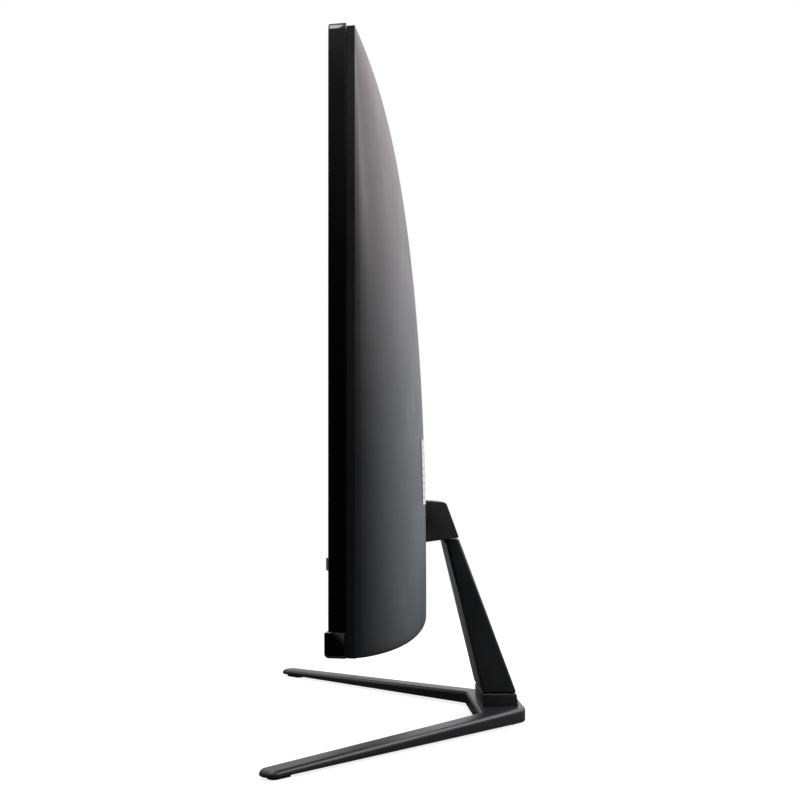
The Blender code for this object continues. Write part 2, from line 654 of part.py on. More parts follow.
def board(name, left, right, height, components):
    """A board with its components joined to its back."""
    piece = block(name, (left, BOARD_Y, BOARD_LOW), (right, BOARD_Y + BOARD_THICKNESS, BOARD_LOW + height),
                  BOARD_GREEN)
    for index, (across, up, wide, tall, thick) in enumerate(components):
        x, z = left + across, BOARD_LOW + up
        add_to(piece, block(f"{name}_component_{index + 1}",
                            (x - wide / 2, BOARD_Y + BOARD_THICKNESS / 2, z - tall / 2),
                            (x + wide / 2, BOARD_Y + BOARD_THICKNESS + thick, z + tall / 2)))


def build_boards():
    right = MAIN_BOARD_LEFT + MAIN_BOARD_WIDTH
    board("main_board", MAIN_BOARD_LEFT, right, MAIN_BOARD_HEIGHT, MAIN_COMPONENTS)
    board("backlight_driver_board", *DRIVER_BOARD, DRIVER_BOARD_HEIGHT, DRIVER_COMPONENTS)
    back = BOARD_Y + BOARD_THICKNESS
    left, right = MAIN_BOARD_LEFT + SHIELD_MARGIN, right - SHIELD_MARGIN
    low, high = (BOARD_LOW + rise for rise in SHIELD_RISE)
    depth = min(SHIELD_DEPTH_MOST, cover_inside_y(left, high) - back - SHIELD_CLEARANCE)
    shield = block("board_shield", (left, back + GAP, low), (right, back + depth, high), STEEL)
    cut_from(shield, block("shield_hollow", (left + SHIELD_WALL, back - SHIELD_WALL, low + SHIELD_WALL),
                           (right - SHIELD_WALL, back + depth - SHIELD_WALL, high - SHIELD_WALL)))


def build_bracket(tray_back):
    """Folded steel chassis with standoffs for the boards."""
    half = BRACKET_WIDTH / 2
    low_z, high_z = BRACKET_BOTTOM, BRACKET_BOTTOM + BRACKET_HEIGHT
    floor = behind(BRACKET_DEPTH)
    reach = ARC_CENTRE_Y + math.sqrt((SCREEN_RADIUS + tray_back + 2 * GAP) ** 2 - (half - BRACKET_THICKNESS) ** 2)
    outline = [(-half, reach), (-half + BRACKET_THICKNESS, reach), (-half + BRACKET_THICKNESS, floor),
               (half - BRACKET_THICKNESS, floor), (half - BRACKET_THICKNESS, reach), (half, reach),
               (half, floor + BRACKET_THICKNESS), (-half, floor + BRACKET_THICKNESS)]
    chassis = section("chassis_bracket", outline, low_z, high_z, STEEL)
    boards = ((MAIN_BOARD_LEFT, MAIN_BOARD_LEFT + MAIN_BOARD_WIDTH, MAIN_BOARD_HEIGHT),
              (*DRIVER_BOARD, DRIVER_BOARD_HEIGHT))
    for left, right, height in boards:
        for x in (left + STANDOFF_INSET, right - STANDOFF_INSET):
            for z in (BOARD_LOW + STANDOFF_INSET, BOARD_LOW + height - STANDOFF_INSET):
                add_to(chassis, rod(f"standoff_{x:.3f}_{z:.3f}", (x, floor + BRACKET_THICKNESS / 2, z),
                                    (x, BOARD_Y - GAP, z), STANDOFF_RADIUS, sides=12))


def build_vesa_posts():
    """Threaded posts behind the four mounting holes."""
    low = behind(BRACKET_DEPTH + BRACKET_THICKNESS) + GAP
    high = behind(VESA_PAD_DEPTH) - COVER_WALL - GAP
    for index, (x, z) in enumerate(vesa_places()):
        post = rod(f"vesa_post_{index + 1}", (x, low, z), (x, high, z), VESA_POST_RADIUS, STEEL, sides=16)
        cut_from(post, rod(f"vesa_thread_{index + 1}", (x, high - VESA_THREAD_DEPTH, z),
                           (x, high + COVER_WALL, z), VESA_HOLE_RADIUS - GAP, sides=12))


def build_driver_strip(tray_back):
    """Narrow board along the bottom of the panel, and the ribbon from it to the main board."""
    low = PANEL_BOTTOM + GAP
    front = tray_back + GAP
    back = front + BOARD_THICKNESS * 0.6
    wrap(block("panel_driver_board", (-STRIP_WIDTH / 2, front, low),
               (STRIP_WIDTH / 2, back, low + STRIP_HEIGHT)), BOARD_GREEN)
    start, end = behind(back + GAP), BOARD_Y - GAP
    low_z, high_z = DISPLAY_BOTTOM + low + RIBBON_LAP / 2, BOARD_LOW + RIBBON_LAP
    bend_low, bend_high = BRACKET_BOTTOM - RIBBON_LAP / 2, BOARD_LOW - RIBBON_LAP
    outline = [(start, low_z), (start + RIBBON_THICKNESS, low_z), (start + RIBBON_THICKNESS, bend_low),
               (end, bend_high), (end, high_z), (end - RIBBON_THICKNESS, high_z),
               (end - RIBBON_THICKNESS, bend_high + 2 * RIBBON_THICKNESS),
               (start, bend_low + RIBBON_THICKNESS)]
    left = BAY_INNER_X + COVER_WALL + 4 * GAP
    profile("panel_ribbon", outline, left, left + RIBBON_WIDTH, RIBBON)


# ---------------------------------------------------------------- hinge and head
HEAD_FRONT = COVER_AT_PIVOT_Y + GAP
HINGE_PLATE_HALF = 0.0215
HINGE_PLATE_LOW = PIVOT_HEIGHT - 0.0140
HINGE_PLATE_HIGH = PIVOT_HEIGHT + 0.0130
HINGE_PLATE_THICKNESS = 0.0025
HINGE_SCREW_SPREAD = 0.0105
HINGE_SCREW_INSET = 0.0045
MOUNT_SCREW_PLACES = [(x, z) for z in (HINGE_PLATE_LOW + HINGE_SCREW_INSET, HINGE_PLATE_HIGH - HINGE_SCREW_INSET)
                      for x in (-HINGE_SCREW_SPREAD, HINGE_SCREW_SPREAD)]
EAR_FOOT = 0.0095               # half height of a hinge ear where it meets its plate
PIN_HEAD_RADIUS = 0.0045
PIN_HEAD_THICKNESS = 0.0030
NUT_THICKNESS = 0.0032
MOUNT_STEEL = 0.002
MOUNT_SIDE = 0.012              # how far the hat section runs past the hinge's plate
MOUNT_WING = 0.010
EAR_INNER = BARREL_WIDTH / 2 + WASHER_THICKNESS + 2 * GAP
HEAD_TOP = PIVOT_HEIGHT + 0.0160
HEAD_BOTTOM = PIVOT_HEIGHT - 0.0189
HEAD_REAR_FOOT = (PIVOT_Y + 0.0145, PIVOT_HEIGHT - 0.0144)
HEAD_REAR_SLOPE = 0.366
HEAD_NOTCH = 0.0033             # depth of the shallow gap between the head's two claws
HEAD_TOP_FALL = 0.0012          # the head's top falls this much to its back
HEAD_ROUND = 0.0042             # its upper rear corner
NOTCH_LOW = PIVOT_HEIGHT - 0.0104
NOTCH_HIGH = PIVOT_HEIGHT - 0.0010
REAR_WALL_FOOT = PIVOT_HEIGHT + 0.0046   # the neck swings out below this


def head_rear(z):
    return HEAD_REAR_FOOT[0] - (z - HEAD_REAR_FOOT[1]) * HEAD_REAR_SLOPE


def build_mount():
    """Steel hat section inside the display that the hinge is screwed to."""
    thick = MOUNT_STEEL
    foot = behind(BRACKET_DEPTH + BRACKET_THICKNESS) + GAP
    half = HINGE_PLATE_HALF + MOUNT_SIDE
    wing = half + MOUNT_WING
    low, high = HINGE_PLATE_LOW - MOUNT_WING, HINGE_PLATE_HIGH + MOUNT_WING
    top = cover_inside_y(half, high) - 2 * GAP
    outline = [(-wing, foot), (-half + thick, foot), (-half + thick, top - thick),
               (half - thick, top - thick), (half - thick, foot), (wing, foot), (wing, foot + thick),
               (half, foot + thick), (half, top), (-half, top), (-half, foot + thick), (-wing, foot + thick)]
    hat = section("stand_mount", outline, low, high, STEEL)
    for index, (x, z) in enumerate(MOUNT_SCREW_PLACES):
        cut_from(hat, rod(f"mount_hole_{index + 1}", (x, top - 2 * thick, z), (x, top + thick, z),
                          SCREW_RADIUS + RUNNING_FIT, sides=16))
    return top


def along_pivot(name, start, end, radius, material=None, sides=ROUND):
    return rod(name, (start, PIVOT_Y, PIVOT_HEIGHT), (end, PIVOT_Y, PIVOT_HEIGHT), radius, material, sides)


def build_hinge(mount_face):
    plate_low = mount_face + GAP
    plate_high = plate_low + HINGE_PLATE_THICKNESS
    bracket = block("hinge_bracket", (-HINGE_PLATE_HALF, plate_low, HINGE_PLATE_LOW),
                    (HINGE_PLATE_HALF, plate_high, HINGE_PLATE_HIGH), DARK_STEEL)
    root = plate_low + HINGE_PLATE_THICKNESS / 2
    ear = [(root, PIVOT_HEIGHT - EAR_FOOT)]
    ear += arc((PIVOT_Y, PIVOT_HEIGHT), BARREL_RADIUS, -90, 90, 12)
    ear += [(root, PIVOT_HEIGHT + EAR_FOOT)]
    for side, low in (("left", -EAR_INNER - EAR_THICKNESS), ("right", EAR_INNER)):
        add_to(bracket, profile(f"hinge_ear_{side}", ear, low, low + EAR_THICKNESS))
    reach = EAR_INNER + 2 * EAR_THICKNESS
    cut_from(bracket, along_pivot("ear_bore", -reach, reach, PIN_RADIUS + RUNNING_FIT))
    head = plate_high + GAP
    for index, (x, z) in enumerate(MOUNT_SCREW_PLACES):
        cut_from(bracket, rod(f"bracket_hole_{index + 1}", (x, plate_low - GAP, z), (x, head, z),
                              SCREW_RADIUS + RUNNING_FIT, sides=16))
        screw = rod(f"mount_screw_{index + 1}", (x, mount_face - 2 * MOUNT_STEEL, z),
                    (x, head + SCREW_RADIUS / 2, z), SCREW_RADIUS, DARK_STEEL, sides=16)
        add_to(screw, rod(f"mount_screw_head_{index + 1}", (x, head, z), (x, head + SCREW_RADIUS, z),
                          SCREW_HEAD_RATIO * SCREW_RADIUS, sides=16))

    outer = EAR_INNER + EAR_THICKNESS + GAP
    pin = along_pivot("hinge_pin", -outer - PIN_HEAD_THICKNESS / 2, outer + NUT_THICKNESS + 2 * GAP, PIN_RADIUS,
                      STEEL)
    add_to(pin, along_pivot("hinge_pin_head", -outer - PIN_HEAD_THICKNESS, -outer, PIN_HEAD_RADIUS))
    nut = along_pivot("hinge_nut", outer, outer + NUT_THICKNESS, PIN_HEAD_RADIUS, STEEL, sides=6)
    cut_from(nut, along_pivot("nut_bore", outer - GAP, outer + 2 * NUT_THICKNESS, PIN_RADIUS + RUNNING_FIT))
    for side, sign in (("left", -1), ("right", 1)):
        near = sign * (BARREL_WIDTH / 2 + GAP)
        far = near + sign * WASHER_THICKNESS
        washer = along_pivot(f"friction_washer_{side}", near, far, BARREL_RADIUS - 2 * GAP, STEEL)
        cut_from(washer, along_pivot(f"washer_bore_{side}", near - sign * GAP, far + sign * GAP,
                                     PIN_RADIUS + RUNNING_FIT))


def build_head_cover():
    """Plastic cap over the hinge. Its back is open low down, where the neck swings."""
    front, notch = HEAD_FRONT, HEAD_FRONT + HEAD_NOTCH
    rear_top = HEAD_TOP - HEAD_TOP_FALL
    outline = rounded([
        (front, HEAD_TOP, 0.0008), (head_rear(rear_top), rear_top, HEAD_ROUND), (*HEAD_REAR_FOOT, 0.0008),
        (front, HEAD_BOTTOM, 0.0012), (front, NOTCH_LOW - HEAD_TOP_FALL, 0.0006), (notch, NOTCH_LOW, 0.0006),
        (notch, NOTCH_HIGH, 0.0006), (front, NOTCH_HIGH + HEAD_NOTCH, 0.0006)], steps=4)
    cap = profile("hinge_cover", outline, -HEAD_HALF, HEAD_HALF, SATIN_BLACK)
    inner = HEAD_HALF - HEAD_WALL
    far, below = PIVOT_Y + NECK_WIDTH, HEAD_BOTTOM - HEAD_WALL
    lip = HEAD_BOTTOM + HEAD_WALL * 1.4
    lip_back = PIVOT_Y + GAP
    hollow = [(notch + HEAD_WALL, HEAD_TOP - HEAD_WALL),
              (head_rear(HEAD_TOP - HEAD_WALL) - HEAD_WALL, HEAD_TOP - HEAD_WALL - HEAD_TOP_FALL),
              (head_rear(REAR_WALL_FOOT) - HEAD_WALL, REAR_WALL_FOOT), (far, REAR_WALL_FOOT),
              (far, below), (lip_back, below), (lip_back, lip), (notch + HEAD_WALL, lip)]
    cut_from(cap, profile("head_hollow", hollow, -inner, inner),
             mount_opening("head_window", GAP, front - HEAD_WALL, notch + 1.5 * HEAD_WALL))
    bevel = cap.modifiers.new("soft_edges", "BEVEL")
    bevel.width = 0.0004
    bevel.segments = 1
    bevel.angle_limit = math.radians(50)


# ---------------------------------------------------------------- neck and base


def neck_front(z):
    return PIVOT_Y - 0.0002 + (PIVOT_HEIGHT - z) * NECK_FRONT_SLOPE


def neck_rear(z):
    return PIVOT_Y - 0.0002 + NECK_THICKNESS_AT_PIVOT + (PIVOT_HEIGHT - z) * NECK_REAR_SLOPE


def build_neck():
    foot, shoulder = STUB_TOP + GAP, PIVOT_HEIGHT - NECK_TOP_DROP
    outline = [(neck_front(foot), foot), (neck_rear(foot), foot), (neck_rear(shoulder), shoulder),
               (neck_front(shoulder), shoulder)]
    neck = profile("neck", outline, -NECK_HALF, NECK_HALF, GRAPHITE)
    soften = neck.modifiers.new("soft_edges", "BEVEL")
    soften.width = NECK_EDGE_ROUND
    soften.segments = 2
    soften.limit_method = "NONE"
    neck = as_mesh(neck, GRAPHITE)
    low = shoulder - BARREL_RADIUS
    tongue = [(neck_front(low) + GAP, low), (neck_rear(low) - GAP, low)]
    tongue += arc((PIVOT_Y, PIVOT_HEIGHT), BARREL_RADIUS, -20, 190, 20)
    add_to(neck, profile("neck_tongue", tongue, -BARREL_WIDTH / 2, BARREL_WIDTH / 2))
    cut_from(neck, along_pivot("barrel_bore", -NECK_WIDTH, NECK_WIDTH, PIN_RADIUS + RUNNING_FIT),
             rod("neck_thread", (0, BASE_SCREW_Y, 0), (0, BASE_SCREW_Y, BASE_SCREW_TOP + GAP),
                 BASE_SCREW_RADIUS + RUNNING_FIT))


BASE_SCREW_Y = (neck_front(STUB_TOP) + neck_rear(STUB_TOP)) / 2


def base_top(y):
    """Height of the base's top: one plane that rises from the leg tips to the nose."""
    tip_y = -BASE_DEPTH / 2
    return TIP_TOP + (ROOT_TOP - TIP_TOP) * (y - tip_y) / (NOSE_Y - tip_y)


def base_outline():
    """Plan of the base: both legs, the nose between them and the web at the inside corner."""
    tip = Vector((LEG_TIP_SPACING / 2, -BASE_DEPTH / 2 + LEG_TIP_WIDTH / 2))
    root = Vector(LEG_ROOT)
    along = (tip - root).normalized()
    out = Vector((-along.y, along.x)) if along.y < 0 else Vector((along.y, -along.x))
    half_tip, half_root = LEG_TIP_WIDTH / 2, LEG_ROOT_WIDTH / 2
    tip_outer, tip_inner = tip + along * half_tip + out * half_tip, tip + along * half_tip - out * half_tip
    root_outer, root_inner = root + out * half_root, root - out * half_root
    outer_run, inner_run = root_outer - tip_outer, root_inner - tip_inner
    nose = root_outer + outer_run * ((NOSE_Y - root_outer.y) / outer_run.y)
    web = root_inner + inner_run * ((WEB_FRONT - root_inner.y) / inner_run.y)
    right = [(max(nose.x, NOSE_HALF_WIDTH), NOSE_Y, NOSE_ROUND), (*tip_outer, half_tip),
             (*tip_inner, half_tip), (web.x, WEB_FRONT, WEB_ROUND)]
    left = [(-x, y, radius) for x, y, radius in reversed(right)]
    return rounded(right + left, steps=6)


def build_base():
    base = plate("base", base_outline(), 1.0, GRAPHITE)
    for vert in base.data.vertices:
        vert.co.z = base_top(vert.co.y) if vert.co.z > 0.5 else LEG_UNDERSIDE
    edges = base.modifiers.new("round_edges", "BEVEL")
    edges.width = LEG_EDGE_ROUND
    edges.segments = 3
    edges.angle_limit = math.radians(60)
    edges.limit_method = "ANGLE"
    edges.use_clamp_overlap = True
    base = as_mesh(base, GRAPHITE)
    low = base_top(neck_front(STUB_TOP)) - LEG_EDGE_ROUND * 2
    stub = profile("base_stub", [(neck_front(STUB_TOP) + GAP, STUB_TOP), (neck_front(STUB_TOP) + 2 * GAP, low),
                                 (neck_rear(STUB_TOP) + STUB_FLARE, low), (neck_rear(STUB_TOP) - GAP, STUB_TOP)],
                   -NECK_HALF, NECK_HALF)
    add_to(base, stub)
    y = BASE_SCREW_Y
    head_top = SCREW_RECESS_TOP - GAP
    head_low = head_top - SCREW_HEAD_THICKNESS
    cut_from(base, rod("screw_recess", (0, y, 0), (0, y, SCREW_RECESS_TOP), BASE_SCREW_HEAD + 2 * GAP),
             rod("screw_passage", (0, y, 0), (0, y, 2 * STUB_TOP), BASE_SCREW_RADIUS + RUNNING_FIT))
    screw = rod("base_screw", (0, y, head_low + GAP), (0, y, BASE_SCREW_TOP), BASE_SCREW_RADIUS, STEEL)
    add_to(screw, rod("base_screw_head", (0, y, head_low), (0, y, head_top), BASE_SCREW_HEAD))
    cut_from(screw, block("screw_slot", (-2 * BASE_SCREW_HEAD, y - SLOT_WIDTH / 2, 0),
                          (2 * BASE_SCREW_HEAD, y + SLOT_WIDTH / 2, head_low + SLOT_WIDTH)))


def build_pads():
    """Rubber feet: a long one under each leg tip and a round one at each side of the nose."""
    top = LEG_UNDERSIDE - GAP
    tip = Vector((LEG_TIP_SPACING / 2, -BASE_DEPTH / 2 + LEG_TIP_WIDTH / 2))
    along = (Vector(LEG_ROOT) - tip).normalized()
    across = Vector((-along.y, along.x))
    for side, sign in (("left", -1), ("right", 1)):
        start, end = tip - along * PAD_WIDTH / 3, tip + along * (PAD_LENGTH - PAD_WIDTH)
        corners = [start - across * PAD_WIDTH / 2, end - across * PAD_WIDTH / 2,
                   end + across * PAD_WIDTH / 2, start + across * PAD_WIDTH / 2]
        outline = rounded([(sign * corner.x, corner.y, PAD_WIDTH * 0.45) for corner in corners], steps=4)
        section(f"front_pad_{side}", outline, 0, top, RUBBER)
        x, y = REAR_PAD_PLACE
        rod(f"rear_pad_{side}", (sign * x, y, 0), (sign * x, y, top), REAR_PAD_RADIUS, RUBBER)


# ---------------------------------------------------------------- build
TRAY_BACK = build_panel()
build_front()
build_keys()
build_rear_cover()
build_cover_screws()
build_label()
build_bracket(TRAY_BACK)
build_boards()
build_sockets()
build_port_plate()
build_driver_strip(TRAY_BACK)
build_vesa_posts()
build_hinge(build_mount())
build_head_cover()
build_neck()
build_base()
build_pads()
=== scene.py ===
"""Looks for the curved desktop monitor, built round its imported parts.

Metres, +Z up. The screen faces -Y and the stand's legs reach towards -Y. The display's curved
pieces are drawn flat first, as (along the arc, depth behind the screen's front, height above the
display's bottom edge), and roll() takes each point to its place.
"""

import json
import math

import bmesh
import bpy
from mathutils import Matrix, Vector


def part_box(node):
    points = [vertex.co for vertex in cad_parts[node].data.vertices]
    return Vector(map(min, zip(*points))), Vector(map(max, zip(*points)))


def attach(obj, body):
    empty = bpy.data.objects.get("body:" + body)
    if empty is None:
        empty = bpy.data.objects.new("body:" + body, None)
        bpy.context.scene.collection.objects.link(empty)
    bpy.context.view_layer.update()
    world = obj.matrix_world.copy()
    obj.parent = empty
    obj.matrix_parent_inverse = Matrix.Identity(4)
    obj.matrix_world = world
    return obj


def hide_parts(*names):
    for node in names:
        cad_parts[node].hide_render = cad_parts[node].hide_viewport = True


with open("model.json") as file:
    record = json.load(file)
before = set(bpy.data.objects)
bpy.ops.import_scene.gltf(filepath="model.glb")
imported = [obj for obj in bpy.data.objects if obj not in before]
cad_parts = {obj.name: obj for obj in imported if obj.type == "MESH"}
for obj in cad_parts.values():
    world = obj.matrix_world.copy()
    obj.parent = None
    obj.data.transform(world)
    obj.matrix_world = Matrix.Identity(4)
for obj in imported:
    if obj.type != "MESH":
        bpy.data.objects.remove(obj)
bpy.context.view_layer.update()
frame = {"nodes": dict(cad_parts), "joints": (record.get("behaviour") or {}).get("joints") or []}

# ---------------------------------------------------------------- sizes
GAP = 0.0003                    # between pieces that touch
CLEAR_OF_BOX = 0.00005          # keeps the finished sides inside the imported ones
SCREEN_RADIUS = 1.5
DISPLAY_WIDTH = 0.610           # chord across the front edges
BEZEL_DEPTH = 0.0105
BEZEL_WALL = 0.0025
CHIN_PROUD = 0.0023
GLASS_SETBACK = 0.0006
GLASS_THICKNESS = 0.0014
RIM_DEPTH = 0.0156              # front surface to where the rear cover starts to swell
BULGE_DEPTH = 0.0308
COVER_WALL = 0.0025
COVER_INSET_TOP = 0.0020
COVER_INSET = 0.0005
COVER_EDGE_ROUND = 0.0030
SIDE_POWER = 5.3
SIDE_FULLNESS = 0.61
TOP_POWER = 2.5
TOP_FULLNESS = 0.76
CREASE_SHARE = 0.11             # of the side's rise is taken in one straight facet, for a crisp crease
CHAMFER_HIGH = 0.0032           # cut across the frame's upper corners
CHAMFER_WIDE = 0.0008
CREASE = 0.00012                # narrow strip that keeps an edge crisp
HALF_ANGLE = math.asin(DISPLAY_WIDTH / 2 / SCREEN_RADIUS)
HALF_ARC = SCREEN_RADIUS * HALF_ANGLE
COVER_HALF = HALF_ARC - COVER_INSET - CLEAR_OF_BOX
GLASS_BACK_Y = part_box("lcd_glass")[1].y
MID_FRONT_Y = GLASS_BACK_Y - GLASS_SETBACK - GLASS_THICKNESS
ARC_CENTRE_Y = MID_FRONT_Y - SCREEN_RADIUS
DISPLAY_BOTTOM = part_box("chin")[0].z
DISPLAY_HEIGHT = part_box("front_frame")[1].z - DISPLAY_BOTTOM
CHIN_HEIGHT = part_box("chin")[1].z - DISPLAY_BOTTOM
COVER_TOP = DISPLAY_HEIGHT - COVER_INSET_TOP
PICTURE_HALF = 0.2965
PICTURE_LOW = DISPLAY_BOTTOM + CHIN_HEIGHT + 0.0030
PICTURE_HIGH = DISPLAY_BOTTOM + DISPLAY_HEIGHT - 0.0058
PICTURE_EDGE = 0.0003           # width of the step from picture to border

BAY_LEFT, BAY_RIGHT = -0.150, -0.056
BAY_CEILING = 0.147
BAY_DEPTH_FLOOR = 0.0162
PAD_WIDTH = 0.120               # flat recess for a wall bracket
PAD_CENTRE_Z = 0.256
PAD_FLOOR_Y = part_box("vesa_post_1")[1].y + COVER_WALL + GAP
PAD_CORNER_ROUND = 0.006
WALL_HOLE_PITCH = 0.100
WALL_HOLE_RADIUS = 0.0025
VENT_COUNT = 18
VENT_WIDTH = 0.0028
VENT_PITCH = 0.0088
VENT_LOW, VENT_HIGH = 0.340, 0.364
LABEL_CENTRE = (0.166, 0.2065)
LABEL_SIZE = (0.037, 0.045)
KEY_NAMES = ("power_key", "menu_key_1", "menu_key_2", "menu_key_3", "menu_key_4")
KEY_FIRST = 0.270               # arc distance of the power key from the middle
KEY_PITCH = 0.018
KEY_SIZE = (0.011, 0.0040)
KEY_DEPTH = 0.0050
KEY_PROUD = 0.0009
KEY_ROUND = 0.0008
KEY_FLANGE = 0.0009
LIGHT_RADIUS = 0.0011
LIGHT_AT = KEY_FIRST + KEY_PITCH

TILT = next(joint for joint in frame["joints"] if joint["name"] == "tilt")
PIVOT = Vector(TILT["pos_m"])
STUB_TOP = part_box("base")[1].z
NECK_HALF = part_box("neck")[1].x
BARREL_RADIUS = 0.0068
BARREL_WIDTH = 0.032
PIN_RADIUS = 0.0026

# ---------------------------------------------------------------- camera, light and floor
CAMERA_PLACE = (0.935, -0.0585, 0.201)
LENS_LENGTH = 49.5
LENS_SHIFT = (0.09, 0.10)
FLOOR_RADIUS = 0.8
FLOOR_SOLID = 0.35              # radius where the table top starts to fade
FLOOR_GONE = 0.75


def set_camera():
    lens = bpy.data.cameras.new("side_camera")
    lens.lens = LENS_LENGTH
    lens.sensor_width = 36
    lens.shift_x, lens.shift_y = LENS_SHIFT
    lens.dof.use_dof = False
    camera = bpy.data.objects.new("side_camera", lens)
    camera.location = CAMERA_PLACE
    camera.rotation_euler = (math.radians(90), 0, math.radians(90))
    bpy.context.scene.collection.objects.link(camera)
    bpy.context.scene.camera = camera


def soft_light(name, place, target, width, height, power, colour):
    lamp = bpy.data.lights.new(name, "AREA")
    lamp.shape = "RECTANGLE"
    lamp.size = width
    lamp.size_y = height
    lamp.energy = power
    lamp.color = colour
    light = bpy.data.objects.new(name, lamp)
    light.location = place
    light.rotation_euler = (Vector(target) - Vector(place)).to_track_quat("-Z", "Y").to_euler()
    light.visible_camera = False
    bpy.context.scene.collection.objects.link(light)


def add_node(tree, kind, inputs=(), **settings):
    """A node whose inputs are numbers, colours or the sockets that feed them."""
    made = tree.nodes.new(kind)
    for name, value in settings.items():
        setattr(made, name, value)
    for name, value in dict(inputs).items():
        socket = made.inputs[name]
        if isinstance(value, bpy.types.NodeSocket):
            tree.links.new(value, socket)
        else:
            socket.default_value = value
    return made


def own_place(tree):
    """Where a point is on the piece itself."""
    return add_node(tree, "ShaderNodeTexCoord").outputs["Object"]


def times(tree, first, second):
    return maths(tree, "MULTIPLY", first, second)


def maths(tree, operation, first, second=0.0, clamp=False):
    made = add_node(tree, "ShaderNodeMath", {0: first, 1: second}, operation=operation)
    made.use_clamp = clamp
    return made.outputs[0]


def ramp_between(tree, value, start, end, low=0.0, high=1.0):
    """A smooth step of a value from start to end."""
    made = add_node(tree, "ShaderNodeMapRange", {
        "Value": value, "From Min": start, "From Max": end, "To Min": low, "To Max": high},
        interpolation_type="SMOOTHSTEP")
    return made.outputs["Result"]


def grey(level):
    return (level, level, level, 1)


def blend_colours(tree, share, first, second):
    made = tree.nodes.new("ShaderNodeMix")
    made.data_type = "RGBA"
    made.clamp_factor = True
    for socket, value in ((made.inputs["Factor"], share), (made.inputs[6], first), (made.inputs[7], second)):
        if isinstance(value, bpy.types.NodeSocket):
            tree.links.new(value, socket)
        else:
            socket.default_value = value
    return made.outputs[2]


def set_studio():
    """White to the camera; to the object, bright behind and above and dark where the camera stands."""
    world = bpy.data.worlds.new("studio")
    bpy.context.scene.world = world
    world.use_nodes = True
    tree = world.node_tree
    tree.nodes.clear()
    direction = add_node(tree, "ShaderNodeTexCoord").outputs["Generated"]
    parts = add_node(tree, "ShaderNodeSeparateXYZ", {"Vector": direction}).outputs
    far_side = ramp_between(tree, parts["X"], 0.55, -1.0, 0.02, 0.92)
    behind_it = ramp_between(tree, parts["Y"], 0.20, 0.95, 0.0, 0.25)
    in_front = ramp_between(tree, parts["Y"], -0.40, 0.22, 0.22, 1.0)
    rising = ramp_between(tree, parts["Z"], -0.30, 0.45, 0.45, 1.3)
    overhead = ramp_between(tree, parts["Z"], 0.12, 0.95, 0.0, 0.75)
    around = times(tree, maths(tree, "ADD", far_side, behind_it), in_front)
    strength = maths(tree, "ADD", times(tree, around, rising), overhead)
    seen = add_node(tree, "ShaderNodeBackground", {"Color": grey(1), "Strength": 1.0})
    warmer = ramp_between(tree, parts["Z"], -0.12, 0.35)
    tint = blend_colours(tree, warmer, (0.86, 0.95, 1.0, 1), (1.0, 0.93, 0.95, 1))
    felt = add_node(tree, "ShaderNodeBackground", {"Color": tint, "Strength": strength})
    ray = add_node(tree, "ShaderNodeLightPath").outputs["Is Camera Ray"]
    mixed = add_node(tree, "ShaderNodeMixShader", {0: ray, 1: felt.outputs[0], 2: seen.outputs[0]})
    add_node(tree, "ShaderNodeOutputWorld", {"Surface": mixed.outputs[0]})

    soft_light("overhead_box", (0.10, 0.10, 1.60), (0, 0, 0.2), 1.1, 0.9, 17, (1, 0.96, 0.99))
    soft_light("rear_box", (0.35, 1.50, 1.30), (0, 0, 0.25), 2.2, 0.9, 24, (1, 0.95, 0.96))
    soft_light("front_box", (-0.7, -1.5, 1.5), (0, 0, 0.2), 1.0, 0.6, 3, (0.96, 0.98, 1))
    soft_light("side_box", (1.09, -0.64, 1.556), (0.30, -0.10, 0.46), 0.46, 0.42, 4.8, (0.93, 0.89, 1))


def lay_floor():
    """Pale table top that fades out round the object, and is clear from below."""
    form = bmesh.new()
    bmesh.ops.create_circle(form, cap_ends=True, segments=96, radius=FLOOR_RADIUS)
    mesh = bpy.data.meshes.new("floor")
    form.to_mesh(mesh)
    form.free()
    floor = bpy.data.objects.new("floor", mesh)
    bpy.context.scene.collection.objects.link(floor)
    material = bpy.data.materials.new("pale_table")
    material.use_nodes = True
    tree = material.node_tree
    tree.nodes.clear()
    place = own_place(tree)
    distance = add_node(tree, "ShaderNodeVectorMath", {0: place}, operation="LENGTH").outputs["Value"]
    fade = ramp_between(tree, distance, FLOOR_SOLID, FLOOR_GONE, 1.0, 0.0)
    speckle = noise(tree, place, 260.0)
    seen = add_node(tree, "ShaderNodeLightPath").outputs["Is Camera Ray"]
    tone = blend_colours(tree, speckle, grey(0.34), grey(0.37))
    felt = blend_colours(tree, seen, grey(0.10), tone)
    paint = add_node(tree, "ShaderNodeBsdfDiffuse", {"Color": felt})
    glow = times(tree, seen, 0.84)
    lift = add_node(tree, "ShaderNodeEmission", {"Color": grey(1), "Strength": glow})
    lit = add_node(tree, "ShaderNodeAddShader", {0: paint.outputs[0], 1: lift.outputs[0]})
    clear = add_node(tree, "ShaderNodeBsdfTransparent")
    from_below = add_node(tree, "ShaderNodeNewGeometry").outputs["Backfacing"]
    shown = times(tree, fade, maths(tree, "SUBTRACT", 1.0, from_below))
    mixed = add_node(tree, "ShaderNodeMixShader", {0: shown, 1: clear.outputs[0], 2: lit.outputs[0]})
    add_node(tree, "ShaderNodeOutputMaterial", {"Surface": mixed.outputs[0]})
    mesh.materials.append(material)


# ---------------------------------------------------------------- shared effects


